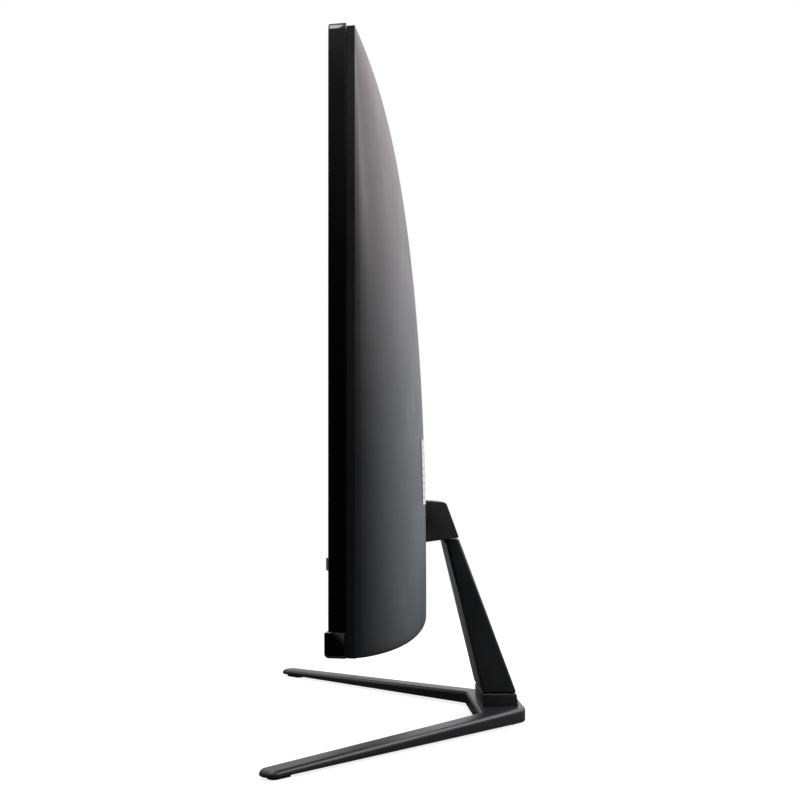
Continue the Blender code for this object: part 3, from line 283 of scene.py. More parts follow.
def new_group(name, inputs, outputs):
    """An empty node group; returns it with its input and output nodes."""
    group = bpy.data.node_groups.new(name, "ShaderNodeTree")
    for socket, value in inputs.items():
        made = group.interface.new_socket(socket, in_out="INPUT", socket_type="NodeSocketFloat")
        made.default_value = value
    for socket in outputs:
        group.interface.new_socket(socket, in_out="OUTPUT", socket_type="NodeSocketFloat")
    return group, group.nodes.new("NodeGroupInput").outputs, group.nodes.new("NodeGroupOutput").inputs


def noise(tree, place, scale, detail=3.0, roughness=0.5):
    made = add_node(tree, "ShaderNodeTexNoise", {
        "Vector": place, "Scale": scale, "Detail": detail, "Roughness": roughness})
    return made.outputs[0]


def make_moulded_grain():
    """Fine spark-eroded grain of a moulded surface, with slow drifts of tone."""
    group, given, out = new_group("moulded_grain", {"Fineness": 3600.0, "Drift": 14.0},
                                  ("Height", "Drift", "Grain"))
    place = own_place(group)
    fine = noise(group, place, given["Fineness"], 2.0, 0.6)
    cells = add_node(group, "ShaderNodeTexVoronoi", {"Vector": place, "Scale": given["Fineness"]})
    height = times(group, fine, cells.outputs["Distance"])
    group.links.new(height, out["Height"])
    group.links.new(noise(group, place, given["Drift"], 4.0, 0.55), out["Drift"])
    group.links.new(fine, out["Grain"])
    return group


def make_edge_wear():
    """Where edges have been rubbed: 1 on sharp corners, broken up by noise."""
    group, given, out = new_group("edge_wear", {"Reach": 0.0006, "Patchiness": 420.0}, ("Mask",))
    place = own_place(group)
    rounded_normal = add_node(group, "ShaderNodeBevel", {"Radius": given["Reach"]}, samples=4).outputs[0]
    plain_normal = add_node(group, "ShaderNodeNewGeometry").outputs["Normal"]
    alike = add_node(group, "ShaderNodeVectorMath", {0: rounded_normal, 1: plain_normal},
                     operation="DOT_PRODUCT").outputs["Value"]
    turn = maths(group, "SUBTRACT", 1.0, alike)
    edge = ramp_between(group, turn, 0.02, 0.16)
    patches = ramp_between(group, noise(group, place, given["Patchiness"], 5.0, 0.65), 0.38, 0.66)
    group.links.new(times(group, edge, patches), out["Mask"])
    return group


def make_settled_dust():
    """Dust that has come to rest on what faces up."""
    group, given, out = new_group("settled_dust", {"Amount": 0.3, "Fineness": 900.0}, ("Mask",))
    place = own_place(group)
    facing = add_node(group, "ShaderNodeNewGeometry").outputs["Normal"]
    upward = add_node(group, "ShaderNodeSeparateXYZ", {"Vector": facing}).outputs["Z"]
    resting = ramp_between(group, upward, 0.25, 0.95)
    specks = ramp_between(group, noise(group, place, given["Fineness"], 4.0, 0.7), 0.42, 0.72)
    drifts = ramp_between(group, noise(group, place, 22.0, 3.0, 0.5), 0.30, 0.75, 0.35, 1.0)
    lying = times(group, times(group, resting, specks), drifts)
    group.links.new(times(group, lying, given["Amount"]), out["Mask"])
    return group


def make_handling_marks():
    """Faint smears and hairlines left by wiping."""
    group, given, out = new_group("handling_marks", {"Smears": 30.0, "Hairlines": 240.0},
                                  ("Smear", "Hairline"))
    place = own_place(group)
    wiped = noise(group, place, given["Smears"], 4.0, 0.6)
    group.links.new(ramp_between(group, wiped, 0.40, 0.75), out["Smear"])
    stretched = add_node(group, "ShaderNodeMapping", {"Vector": place, "Rotation": (0.5, 0.2, 0.9),
                                                      "Scale": (1.0, 14.0, 1.0)}).outputs[0]
    lines = noise(group, stretched, given["Hairlines"], 2.0, 0.5)
    group.links.new(ramp_between(group, lines, 0.66, 0.74), out["Hairline"])
    return group


MOULDED_GRAIN = make_moulded_grain()
EDGE_WEAR = make_edge_wear()
SETTLED_DUST = make_settled_dust()
HANDLING_MARKS = make_handling_marks()


def use_group(tree, group, **values):
    made = tree.nodes.new("ShaderNodeGroup")
    made.node_tree = group
    for name, value in values.items():
        made.inputs[name].default_value = value
    return made.outputs


# ---------------------------------------------------------------- finishes


def new_material(name):
    material = bpy.data.materials.new(name)
    material.use_nodes = True
    return material, material.node_tree, material.node_tree.nodes["Principled BSDF"]


def join(tree, shader, **feeds):
    for name, value in feeds.items():
        tree.links.new(value, shader.inputs[name.replace("_", " ")])


def bump(tree, height, distance, strength=1.0, edges=0.0):
    """A normal from a height in metres; edges gives every sharp edge that small a radius."""
    inputs = {"Height": height, "Distance": distance, "Strength": strength}
    if edges:
        inputs["Normal"] = add_node(tree, "ShaderNodeBevel", {"Radius": edges}, samples=6).outputs[0]
    return add_node(tree, "ShaderNodeBump", inputs).outputs[0]


def plastic(name, dark, light, roughness, fineness, grain_depth, edge_round, wear=0.35, dust=0.12):
    """Moulded plastic with its grain, rubbed edges and a little dust."""
    material, tree, shader = new_material(name)
    grain = use_group(tree, MOULDED_GRAIN, Fineness=fineness)
    worn = times(tree, use_group(tree, EDGE_WEAR)["Mask"], wear)
    dusty = use_group(tree, SETTLED_DUST, Amount=dust)["Mask"]
    marks = use_group(tree, HANDLING_MARKS)
    tone = blend_colours(tree, grain["Drift"], (*dark, 1), (*light, 1))
    rubbed = blend_colours(tree, worn, tone, tuple(min(1, 3.2 * part) for part in light) + (1,))
    dusted = blend_colours(tree, dusty, rubbed, (0.36, 0.35, 0.33, 1))
    base = ramp_between(tree, grain["Drift"], 0.25, 0.75, roughness * 0.92, roughness * 1.08)
    smeared = maths(tree, "SUBTRACT", base, times(tree, marks["Smear"], roughness * 0.12))
    polished = maths(tree, "SUBTRACT", smeared, times(tree, worn, roughness * 0.5))
    rough = maths(tree, "ADD", polished, times(tree, dusty, 0.4), clamp=True)
    join(tree, shader, Base_Color=dusted, Roughness=rough,
         Normal=bump(tree, grain["Height"], grain_depth, edges=edge_round))
    return material


def gloss_black():
    """High-gloss black plastic: faint moulding waves, hairlines and a few smears."""
    material, tree, shader = new_material("gloss_black")
    grain = use_group(tree, MOULDED_GRAIN, Fineness=520.0, Drift=18.0)
    marks = use_group(tree, HANDLING_MARKS)
    dusty = use_group(tree, SETTLED_DUST, Amount=0.10)["Mask"]
    worn = use_group(tree, EDGE_WEAR, Reach=0.0004)["Mask"]
    tone = blend_colours(tree, grain["Drift"], (0.0015, 0.0018, 0.0022, 1), (0.0024, 0.0027, 0.0032, 1))
    rubbed = blend_colours(tree, times(tree, worn, 0.06), tone, (0.03, 0.03, 0.033, 1))
    dusted = blend_colours(tree, dusty, rubbed, (0.30, 0.29, 0.28, 1))
    smeared = ramp_between(tree, marks["Smear"], 0.0, 1.0, 0.055, 0.12)
    lined = maths(tree, "ADD", smeared, times(tree, marks["Hairline"], 0.10))
    rough = maths(tree, "ADD", lined, times(tree, dusty, 0.5))
    shader.inputs["Coat Weight"].default_value = 0.35
    shader.inputs["Coat Roughness"].default_value = 0.04
    join(tree, shader, Base_Color=dusted, Roughness=rough,
         Normal=bump(tree, grain["Drift"], 0.00012, 0.4, edges=0.00012))
    return material


def graphite_paint():
    """Dark metallic paint of the stand: fine flakes under a satin lacquer."""
    material, tree, shader = new_material("graphite_paint")
    place = own_place(tree)
    grain = use_group(tree, MOULDED_GRAIN, Fineness=2600.0)
    flakes = add_node(tree, "ShaderNodeTexVoronoi", {"Vector": place, "Scale": 5200.0})
    glints = add_node(tree, "ShaderNodeSeparateColor", {"Color": flakes.outputs["Color"]}).outputs[0]
    flake = ramp_between(tree, glints, 0.55, 1.0)
    worn = times(tree, use_group(tree, EDGE_WEAR, Reach=0.0008)["Mask"], 0.5)
    dusty = use_group(tree, SETTLED_DUST, Amount=0.05)["Mask"]
    marks = use_group(tree, HANDLING_MARKS)
    tone = blend_colours(tree, grain["Drift"], (0.0070, 0.0090, 0.0100, 1), (0.0095, 0.0118, 0.0128, 1))
    sparkling = blend_colours(tree, flake, tone, (0.030, 0.034, 0.036, 1))
    rubbed = blend_colours(tree, worn, sparkling, (0.075, 0.080, 0.085, 1))
    dusted = blend_colours(tree, dusty, rubbed, (0.38, 0.37, 0.35, 1))
    base = ramp_between(tree, marks["Smear"], 0.0, 1.0, 0.36, 0.43)
    rough = maths(tree, "ADD", base, times(tree, dusty, 0.4), clamp=True)
    metal = ramp_between(tree, flake, 0.0, 1.0, 0.25, 0.65)
    shader.inputs["Coat Weight"].default_value = 0.2
    shader.inputs["Coat Roughness"].default_value = 0.3
    join(tree, shader, Base_Color=dusted, Roughness=rough, Metallic=metal,
         Normal=bump(tree, grain["Height"], 0.000012, edges=0.0005))
    return material


def anti_glare_screen():
    """Etched front film of the panel: darker border, faint cast where the picture is."""
    material, tree, shader = new_material("anti_glare_screen")
    place = own_place(tree)
    parts = add_node(tree, "ShaderNodeSeparateXYZ", {"Vector": place}).outputs
    grain = use_group(tree, MOULDED_GRAIN, Fineness=4800.0, Drift=7.0)
    sideways = maths(tree, "ABSOLUTE", parts["X"])
    across = ramp_between(tree, sideways, PICTURE_HALF, PICTURE_HALF + PICTURE_EDGE)
    above = ramp_between(tree, parts["Z"], PICTURE_HIGH, PICTURE_HIGH + PICTURE_EDGE)
    below = ramp_between(tree, parts["Z"], PICTURE_LOW, PICTURE_LOW - PICTURE_EDGE)
    border = maths(tree, "MAXIMUM", maths(tree, "MAXIMUM", across, above), below)
    tone = blend_colours(tree, grain["Drift"], (0.0050, 0.0053, 0.0062, 1), (0.0068, 0.0071, 0.0080, 1))
    edged = blend_colours(tree, border, tone, (0.0030, 0.0030, 0.0034, 1))
    marks = use_group(tree, HANDLING_MARKS, Smears=12.0)
    rough = ramp_between(tree, marks["Smear"], 0.0, 1.0, 0.30, 0.36)
    join(tree, shader, Base_Color=edged, Roughness=rough, Normal=bump(tree, grain["Height"], 0.000006))
    return material


def clear_light_pipe():
    """Frosted clear plastic."""
    material, tree, shader = new_material("clear_light_pipe")
    grain = use_group(tree, MOULDED_GRAIN, Fineness=2400.0)
    tone = blend_colours(tree, grain["Drift"], (0.62, 0.66, 0.70, 1), (0.74, 0.78, 0.80, 1))
    rough = ramp_between(tree, grain["Grain"], 0.3, 0.7, 0.18, 0.30)
    join(tree, shader, Base_Color=tone, Roughness=rough, Normal=bump(tree, grain["Height"], 0.00001))
    return material


def white_film():
    """Diffusing film with its fine prism lines."""
    material, tree, shader = new_material("white_film")
    place = own_place(tree)
    lines = add_node(tree, "ShaderNodeTexWave", {"Vector": place, "Scale": 900.0, "Distortion": 0.3},
                     bands_direction="Z").outputs["Fac"]
    grain = use_group(tree, MOULDED_GRAIN, Fineness=1800.0)
    tone = blend_colours(tree, grain["Drift"], (0.80, 0.82, 0.84, 1), (0.87, 0.88, 0.89, 1))
    rough = ramp_between(tree, grain["Grain"], 0.3, 0.7, 0.42, 0.58)
    join(tree, shader, Base_Color=tone, Roughness=rough, Normal=bump(tree, lines, 0.00002))
    return material


def sheet_steel(name, dark, light, roughness, spangle=420.0, lines=1400.0):
    """Plated steel: zinc spangle crossed by fine rolling lines."""
    material, tree, shader = new_material(name)
    place = own_place(tree)
    crystals = add_node(tree, "ShaderNodeTexVoronoi", {"Vector": place, "Scale": spangle})
    facet = add_node(tree, "ShaderNodeSeparateColor", {"Color": crystals.outputs["Color"]}).outputs[0]
    stretched = add_node(tree, "ShaderNodeMapping", {"Vector": place, "Scale": (1.0, 1.0, 0.03)}).outputs[0]
    rolled = noise(tree, stretched, lines, 3.0, 0.6)
    worn = use_group(tree, EDGE_WEAR)["Mask"]
    tone = blend_colours(tree, facet, (*dark, 1), (*light, 1))
    rubbed = blend_colours(tree, worn, tone, tuple(min(1, 1.35 * part) for part in light) + (1,))
    rough = ramp_between(tree, rolled, 0.3, 0.7, roughness * 0.8, roughness * 1.25)
    shader.inputs["Metallic"].default_value = 1.0
    join(tree, shader, Base_Color=rubbed, Roughness=rough,
         Normal=bump(tree, rolled, 0.000006, edges=0.0003))
    return material


def circuit_board():
    """Green lacquer over copper tracks, with tinned pads."""
    material, tree, shader = new_material("circuit_board")
    place = own_place(tree)
    tracks = add_node(tree, "ShaderNodeTexBrick", {
        "Vector": place, "Scale": 90.0, "Mortar Size": 0.06, "Mortar Smooth": 0.3, "Bias": -0.2,
        "Brick Width": 0.7, "Row Height": 0.12}).outputs["Fac"]
    spots = add_node(tree, "ShaderNodeTexVoronoi", {"Vector": place, "Scale": 330.0, "Randomness": 0.25})
    pad = ramp_between(tree, spots.outputs["Distance"], 0.19, 0.15)
    grain = use_group(tree, MOULDED_GRAIN, Fineness=2200.0)
    lacquer = blend_colours(tree, grain["Drift"], (0.008, 0.070, 0.032, 1), (0.012, 0.095, 0.045, 1))
    traced = blend_colours(tree, tracks, lacquer, (0.022, 0.150, 0.070, 1))
    tinned = blend_colours(tree, pad, traced, (0.55, 0.54, 0.50, 1))
    rough = ramp_between(tree, grain["Grain"], 0.3, 0.7, 0.30, 0.42)
    join(tree, shader, Base_Color=tinned, Roughness=rough, Metallic=pad,
         Normal=bump(tree, tracks, 0.00003, edges=0.0002))
    return material


def soft_rubber():
    """Matt rubber with moulded speckle and trodden-in dust."""
    material, tree, shader = new_material("soft_rubber")
    grain = use_group(tree, MOULDED_GRAIN, Fineness=1500.0)
    worn = use_group(tree, EDGE_WEAR)["Mask"]
    tone = blend_colours(tree, grain["Drift"], (0.010, 0.010, 0.011, 1), (0.018, 0.018, 0.018, 1))
    dusted = blend_colours(tree, times(tree, worn, 0.4), tone, (0.09, 0.088, 0.085, 1))
    rough = ramp_between(tree, grain["Grain"], 0.3, 0.7, 0.74, 0.92)
    join(tree, shader, Base_Color=dusted, Roughness=rough,
         Normal=bump(tree, grain["Height"], 0.00005, edges=0.0004))
    return material


def label_paper():
    """Off-white rating label with ruled, empty fields."""
    material, tree, shader = new_material("label_paper")
    place = own_place(tree)
    parts = add_node(tree, "ShaderNodeSeparateXYZ", {"Vector": place}).outputs
    width, height = LABEL_SIZE
    across = maths(tree, "SUBTRACT", parts["X"], LABEL_CENTRE[0] - width / 2)
    up = maths(tree, "SUBTRACT", parts["Z"], LABEL_CENTRE[1] - height / 2)
    field = add_node(tree, "ShaderNodeCombineXYZ", {"X": across, "Y": up}).outputs[0]
    rules = add_node(tree, "ShaderNodeTexBrick", {
        "Vector": field, "Scale": 1.0, "Mortar Size": 0.00022, "Mortar Smooth": 0.2,
        "Brick Width": width * 0.5, "Row Height": height / 9}, offset=0.0).outputs["Fac"]
    fibres = noise(tree, place, 2200.0, 4.0, 0.7)
    tone = blend_colours(tree, fibres, (0.66, 0.65, 0.62, 1), (0.76, 0.75, 0.72, 1))
    inked = blend_colours(tree, times(tree, rules, 0.75), tone, (0.10, 0.10, 0.11, 1))
    worn = times(tree, use_group(tree, EDGE_WEAR, Reach=0.001)["Mask"], 0.5)
    scuffed = blend_colours(tree, worn, inked, (0.50, 0.48, 0.44, 1))
    rough = ramp_between(tree, fibres, 0.3, 0.7, 0.48, 0.66)
    join(tree, shader, Base_Color=scuffed, Roughness=rough, Normal=bump(tree, fibres, 0.00002))
    return material


def flat_ribbon():
    """Flat cable: pale film over rows of conductors."""
    material, tree, shader = new_material("flat_ribbon")
    place = own_place(tree)
    wires = add_node(tree, "ShaderNodeTexWave", {"Vector": place, "Scale": 320.0},
                     bands_direction="X").outputs["Fac"]
    grain = use_group(tree, MOULDED_GRAIN, Fineness=1600.0)
    tone = blend_colours(tree, wires, (0.55, 0.50, 0.36, 1), (0.72, 0.70, 0.62, 1))
    rough = ramp_between(tree, grain["Grain"], 0.3, 0.7, 0.35, 0.50)
    join(tree, shader, Base_Color=tone, Roughness=rough, Normal=bump(tree, wires, 0.00006))
    return material


def gold_contact():
    """Gold-flashed contact springs."""
    material, tree, shader = new_material("gold_contact")
    grain = use_group(tree, MOULDED_GRAIN, Fineness=2600.0, Drift=300.0)
    tone = blend_colours(tree, grain["Drift"], (0.72, 0.48, 0.16, 1), (0.86, 0.62, 0.26, 1))
    rough = ramp_between(tree, grain["Grain"], 0.3, 0.7, 0.20, 0.34)
    shader.inputs["Metallic"].default_value = 1.0
    join(tree, shader, Base_Color=tone, Roughness=rough, Normal=bump(tree, grain["Height"], 0.000005))
    return material


FINISH = {
    "gloss_black": gloss_black(),
    "satin_black": plastic("satin_black", (0.0045, 0.0056, 0.0066), (0.0066, 0.0077, 0.0088), 0.37, 3600.0,
                           0.00002, 0.0004),
    "matte_black": plastic("matte_black", (0.012, 0.0125, 0.0135), (0.018, 0.0185, 0.0195), 0.55, 2600.0,
                           0.00003, 0.0003),
    "graphite_paint": graphite_paint(),
    "screen": anti_glare_screen(),
    "clear_plastic": clear_light_pipe(),
    "white_film": white_film(),
    "zinc_steel": sheet_steel("zinc_steel", (0.48, 0.49, 0.50), (0.58, 0.59, 0.60), 0.34),
    "dark_steel": sheet_steel("dark_steel", (0.085, 0.085, 0.090), (0.13, 0.13, 0.135), 0.34, 900.0),
    "circuit_board": circuit_board(),
    "nickel": sheet_steel("nickel", (0.54, 0.52, 0.48), (0.62, 0.60, 0.56), 0.24, 2000.0, 2400.0),
    "rubber": soft_rubber(),
    "label_paper": label_paper(),
    "ribbon": flat_ribbon(),
}
GOLD = gold_contact()

# ---------------------------------------------------------------- modelling helpers


def plan_middle(name):
    """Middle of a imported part, seen from above."""
    low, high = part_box(name)
    return ((low.x + high.x) / 2, (low.y + high.y) / 2)


def roll(along, depth, height):
    """The place of a point of the flat drawing, once it is rolled round the screen's axis."""
    angle = along / SCREEN_RADIUS
    reach = SCREEN_RADIUS + depth
    return Vector((reach * math.sin(angle), ARC_CENTRE_Y + reach * math.cos(angle), DISPLAY_BOTTOM + height))


def behind(depth):
    return MID_FRONT_Y + depth


def rounded(corners, steps=6):
    """An outline whose corners (x, y, radius) are replaced by arcs."""
    outline = []
    for index, (x, y, radius) in enumerate(corners):
        corner = Vector((x, y))
        before = Vector(corners[index - 1][:2]) - corner
        after = Vector(corners[(index + 1) % len(corners)][:2]) - corner
        if radius == 0:
            outline.append((x, y))
            continue
        half = before.angle(after) / 2
        reach = min(radius / math.tan(half), before.length * 0.49, after.length * 0.49)
        fitted = reach * math.tan(half)
        middle = corner + (before.normalized() + after.normalized()).normalized() * (fitted / math.sin(half))
        first = corner + before.normalized() * reach - middle
        last = corner + after.normalized() * reach - middle
        sweep = first.angle_signed(last)
        for step in range(steps + 1):
            outline.append(tuple(middle + Matrix.Rotation(-sweep * step / steps, 2) @ first))
    return outline


def box_outline(low, high, radius, steps=6):
    return rounded([(low[0], low[1], radius), (high[0], low[1], radius), (high[0], high[1], radius),
                    (low[0], high[1], radius)], steps)


def circle(centre, radius, sides):
    turns = [2 * math.pi * (side + 0.37) / sides for side in range(sides)]
    return [(centre[0] + radius * math.cos(turn), centre[1] + radius * math.sin(turn)) for turn in turns]


def skin(form, rows, closed=False):
    """Faces between rows that each have the same number of points."""
    made = [[form.verts.new(point) for point in row] for row in rows]
    for lower, upper in zip(made, made[1:]):
        count = len(lower)
        for index in range(count if closed else count - 1):
            after = (index + 1) % count
            form.faces.new((lower[index], lower[after], upper[after], upper[index]))
    return made


def loft(form, rings):
    """A closed solid through rings of points."""
    made = skin(form, rings, closed=True)
    form.faces.new(list(reversed(made[0])))
    form.faces.new(made[-1])


def prism(form, outline, start, end, axis):
    """A flat outline carried along an axis: x takes (y, z), y takes (x, z) and z takes (x, y)."""
    def ring(at):
        if axis == "x":
            return [(at, first, second) for first, second in outline]
        if axis == "y":
            return [(first, at, second) for first, second in outline]
        return [(first, second, at) for first, second in outline]
    loft(form, [ring(start), ring(end)])


def mesh_from(form, name):
    bmesh.ops.recalc_face_normals(form, faces=form.faces)
    mesh = bpy.data.meshes.new(name)
    form.to_mesh(mesh)
    form.free()
    return mesh


def raw(name, form):
    """An object that is still being worked on."""
    thing = bpy.data.objects.new(name, mesh_from(form, name))
    bpy.context.scene.collection.objects.link(thing)
    return thing


def lofted(name, rings):
    form = bmesh.new()
    loft(form, rings)
    return raw(name, form)


def extruded(name, outline, start, end, axis):
    form = bmesh.new()
    prism(form, outline, start, end, axis)
    return raw(name, form)


def settle(thing):
    """Turns the object's modifiers into its plain mesh."""
    bpy.context.view_layer.update()
    graph = bpy.context.evaluated_depsgraph_get()
    thing.data = bpy.data.meshes.new_from_object(thing.evaluated_get(graph))
    thing.modifiers.clear()
    return thing


def carve(thing, *tools, operation="DIFFERENCE"):
    for tool in tools:
        cut = thing.modifiers.new("carve", "BOOLEAN")
        cut.operation = operation
        cut.solver = "EXACT"
        cut.object = tool
    settle(thing)
    for tool in tools:
        bpy.data.objects.remove(tool)
    return thing


def soften(thing, width, segments=3, angle=40):
    bevel = thing.modifiers.new("soft_edges", "BEVEL")
    bevel.width = width
    bevel.segments = segments
    bevel.limit_method = "ANGLE"
    bevel.angle_limit = math.radians(angle)
    bevel.use_clamp_overlap = True
    bevel.miter_outer = "MITER_ARC"
    return settle(thing)


def shade(thing, angle=32):
    """Smooth faces, with edges sharper than the angle kept sharp."""
    form = bmesh.new()
    form.from_mesh(thing.data)
    bmesh.ops.remove_doubles(form, verts=form.verts, dist=1e-7)
    limit = math.radians(angle)
    for face in form.faces:
        face.smooth = True
    for edge in form.edges:
        edge.smooth = len(edge.link_faces) == 2 and edge.calc_face_angle(0) < limit
    form.to_mesh(thing.data)
    form.free()
    return thing


def finish_piece(thing, finish, body, replaced=(), angle=32):
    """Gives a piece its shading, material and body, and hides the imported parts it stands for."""
    shade(thing, angle)
    thing.data.materials.clear()
    thing.data.materials.append(FINISH[finish] if isinstance(finish, str) else finish)
    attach(thing, body)
    if replaced:
        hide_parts(*replaced)
    return thing


# ---------------------------------------------------------------- rear cover


def swell(across, down):
    """Share of the cover's full swell at shares of its half width and of its height from the top."""
    side = max(0.0, 1 - abs(across) ** SIDE_POWER) ** SIDE_FULLNESS
    top = max(0.0, 1 - (1 - down) ** TOP_POWER) ** TOP_FULLNESS
    return side * top


def cover_depth(along, height):
    down = (COVER_TOP - height) / (COVER_TOP - COVER_INSET)
    return RIM_DEPTH + BULGE_DEPTH * swell(along / COVER_HALF, down)


def side_shares(steep_steps, flat_steps):
    """Shares of the half width from -1 to 1, closest where the cover falls away to its sides."""
    most = 0.95
    steep = []
    for step in range(steep_steps + 1):
        fallen = CREASE_SHARE + (most - CREASE_SHARE) * (step / steep_steps) ** 1.3
        steep.append((1 - fallen ** (1 / SIDE_FULLNESS)) ** (1 / SIDE_POWER))
    steep.insert(0, 1.0)
    flat = [steep[-1] * (1 - step / flat_steps) for step in range(1, flat_steps)]
    right = steep + flat
    return [-share for share in right] + [0.0] + list(reversed(right))


def down_shares(steep_steps, flat_steps):
    """Shares of the height from the top down to the bottom, closest near the top."""
    most = 0.95
    steep = []
    for step in range(steep_steps + 1):
        fallen = most * (step / steep_steps) ** 1.5
        steep.append(1 - (1 - fallen ** (1 / TOP_FULLNESS)) ** (1 / TOP_POWER))
    last = steep[-1]
    return steep + [last + (1 - last) * step / flat_steps for step in range(1, flat_steps + 1)]


def swollen_solid(name, inset, front, steps):
    """A solid with the cover's outer form, moved inwards by inset all round."""
    steep, flat, edge_rows = steps
    half = COVER_HALF - inset
    low, high = COVER_INSET + inset, COVER_TOP - inset
    round_over = max(COVER_EDGE_ROUND - inset, GAP)
    shares = side_shares(steep, flat)
    heights = [(high - (high - low - round_over) * down, 0.0) for down in down_shares(steep, flat)]
    for step in range(1, edge_rows + 1):
        angle = math.pi / 2 * (1 - step / edge_rows)
        heights.append((low + round_over * (1 - math.cos(angle)), round_over * (1 - math.sin(angle))))
    rows = []
    for height, shy in heights:
        row = []
        for share in shares:
            rise = BULGE_DEPTH * swell(share, (high - height) / (high - low))
            depth = RIM_DEPTH - inset + rise - min(shy, rise * 0.98)
            row.append(roll(share * half, depth, height))
        rows.append(row)
    form = bmesh.new()
    made = skin(form, rows)
    rim = made[0] + [row[-1] for row in made[1:-1]] + list(reversed(made[-1])) + [
        row[0] for row in reversed(made[1:-1])]
    places = [(share * half, heights[0][0]) for share in shares]
    places += [(half, height) for height, _ in heights[1:-1]]
    places += [(share * half, heights[-1][0]) for share in reversed(shares)]
    places += [(-half, height) for height, _ in reversed(heights[1:-1])]
    fronts = [form.verts.new(roll(along, front, height)) for along, height in places]
    count = len(rim)
    for index in range(count):
        after = (index + 1) % count
        form.faces.new((rim[index], rim[after], fronts[after], fronts[index]))
    across = len(shares)
    down = len(heights) - 2
    top = fronts[:across]
    right = fronts[across:across + down]
    bottom = list(reversed(fronts[across + down:2 * across + down]))
    left = list(reversed(fronts[2 * across + down:]))
    for index in range(across - 1):
        face = [top[index], top[index + 1]]
        if index == across - 2:
            face += right
        face += [bottom[index + 1], bottom[index]]
        if index == 0:
            face += list(reversed(left))
        form.faces.new(face)
    return raw(name, form)


def wall_holes():
    half = WALL_HOLE_PITCH / 2
    return [(x, PAD_CENTRE_Z + z) for z in (-half, half) for x in (-half, half)]


def recess_tool(name, grown, pad_floor_y):
    """The socket bay and the bracket pad, grown by a wall's thickness for the hollow inside."""
    form = bmesh.new()
    far = behind(RIM_DEPTH + 2 * BULGE_DEPTH)
    bay = box_outline((BAY_LEFT - grown, behind(BAY_DEPTH_FLOOR) - grown), (BAY_RIGHT + grown, far), 0.0015)
    prism(form, bay, 0.0, BAY_CEILING + grown, "z")
    half = PAD_WIDTH / 2 + grown
    pad = box_outline((-half, PAD_CENTRE_Z - half), (half, PAD_CENTRE_Z + half), PAD_CORNER_ROUND + grown, 8)
    prism(form, pad, pad_floor_y, far, "y")
    return raw(name, form)


def vent_tool():
    """A row of round-ended slots, and the window for the hinge."""
    form = bmesh.new()
    far = behind(RIM_DEPTH + 2 * BULGE_DEPTH)
    for index in range(VENT_COUNT):
        x = (index - (VENT_COUNT - 1) / 2) * VENT_PITCH
        slot = box_outline((x - VENT_WIDTH / 2, VENT_LOW), (x + VENT_WIDTH / 2, VENT_HIGH), VENT_WIDTH * 0.49)
        prism(form, slot, behind(RIM_DEPTH), far, "y")
    low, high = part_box("hinge_bracket")
    grown = 2 * GAP
    window = box_outline((low.x - grown, low.z - grown), (high.x + grown, high.z + grown), 0.001)
    prism(form, window, low.y - 4 * COVER_WALL, far, "y")
    return raw("vents", form)


SOCKETS = ("power_socket", "hdmi_socket_1", "hdmi_socket_2", "displayport_socket", "audio_socket")
COVER_SCREWS = ("cover_screw_1", "cover_screw_2", "cover_screw_3")
COVER_SCREW_HOLE = 0.0021


def hole_tool():
    """Holes for the wall bracket's screws, the sockets and the cover's own screws."""
    form = bmesh.new()
    for x, z in wall_holes():
        prism(form, circle((x, z), WALL_HOLE_RADIUS, 24), PAD_FLOOR_Y - 3 * COVER_WALL,
              PAD_FLOOR_Y + COVER_WALL, "y")
    for name in SOCKETS:
        low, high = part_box(name)
        window = box_outline((low.x - GAP, low.y - GAP), (high.x + GAP, high.y + GAP), 0.0008)
        prism(form, window, BAY_CEILING - COVER_WALL, BAY_CEILING + 2 * COVER_WALL, "z")
    for name in COVER_SCREWS:
        prism(form, circle(plan_middle(name), COVER_SCREW_HOLE, 24), DISPLAY_BOTTOM - COVER_WALL,
              DISPLAY_BOTTOM + 3 * COVER_WALL, "z")
    return raw("holes", form)


def make_rear_cover():
    front = BEZEL_DEPTH + GAP
    cover = swollen_solid("rear_cover_shell", 0, front, (34, 30, 8))
    hollow = swollen_solid("cover_hollow", COVER_WALL, front - BEZEL_DEPTH / 2, (14, 14, 3))
    carve(hollow, recess_tool("walls", COVER_WALL, PAD_FLOOR_Y - COVER_WALL))
    carve(cover, hollow, recess_tool("recesses", 0, PAD_FLOOR_Y), vent_tool(), hole_tool())
    finish_piece(cover, "satin_black", "display", ["rear_cover"], angle=20)


def make_label():
    """Rating label, stuck to the swell of the cover."""
    width, height = LABEL_SIZE
    columns, rows = 16, 16
    form = bmesh.new()
    for lift in (0.00004, 0.00055):
        points = []
        for row in range(rows + 1):
            line = []
            for column in range(columns + 1):
                along = LABEL_CENTRE[0] + width * (column / columns - 0.5)
                up = LABEL_CENTRE[1] - DISPLAY_BOTTOM + height * (row / rows - 0.5)
                line.append(roll(along, cover_depth(along, up) + lift, up))
            points.append(line)
        skin(form, points)
    edges = [edge for edge in form.edges if edge.is_boundary]
    bmesh.ops.bridge_loops(form, edges=edges)
    finish_piece(raw("rating_label_skin", form), "label_paper", "display", ["rating_label"], angle=50)


# ---------------------------------------------------------------- front frame, chin, keys and screen


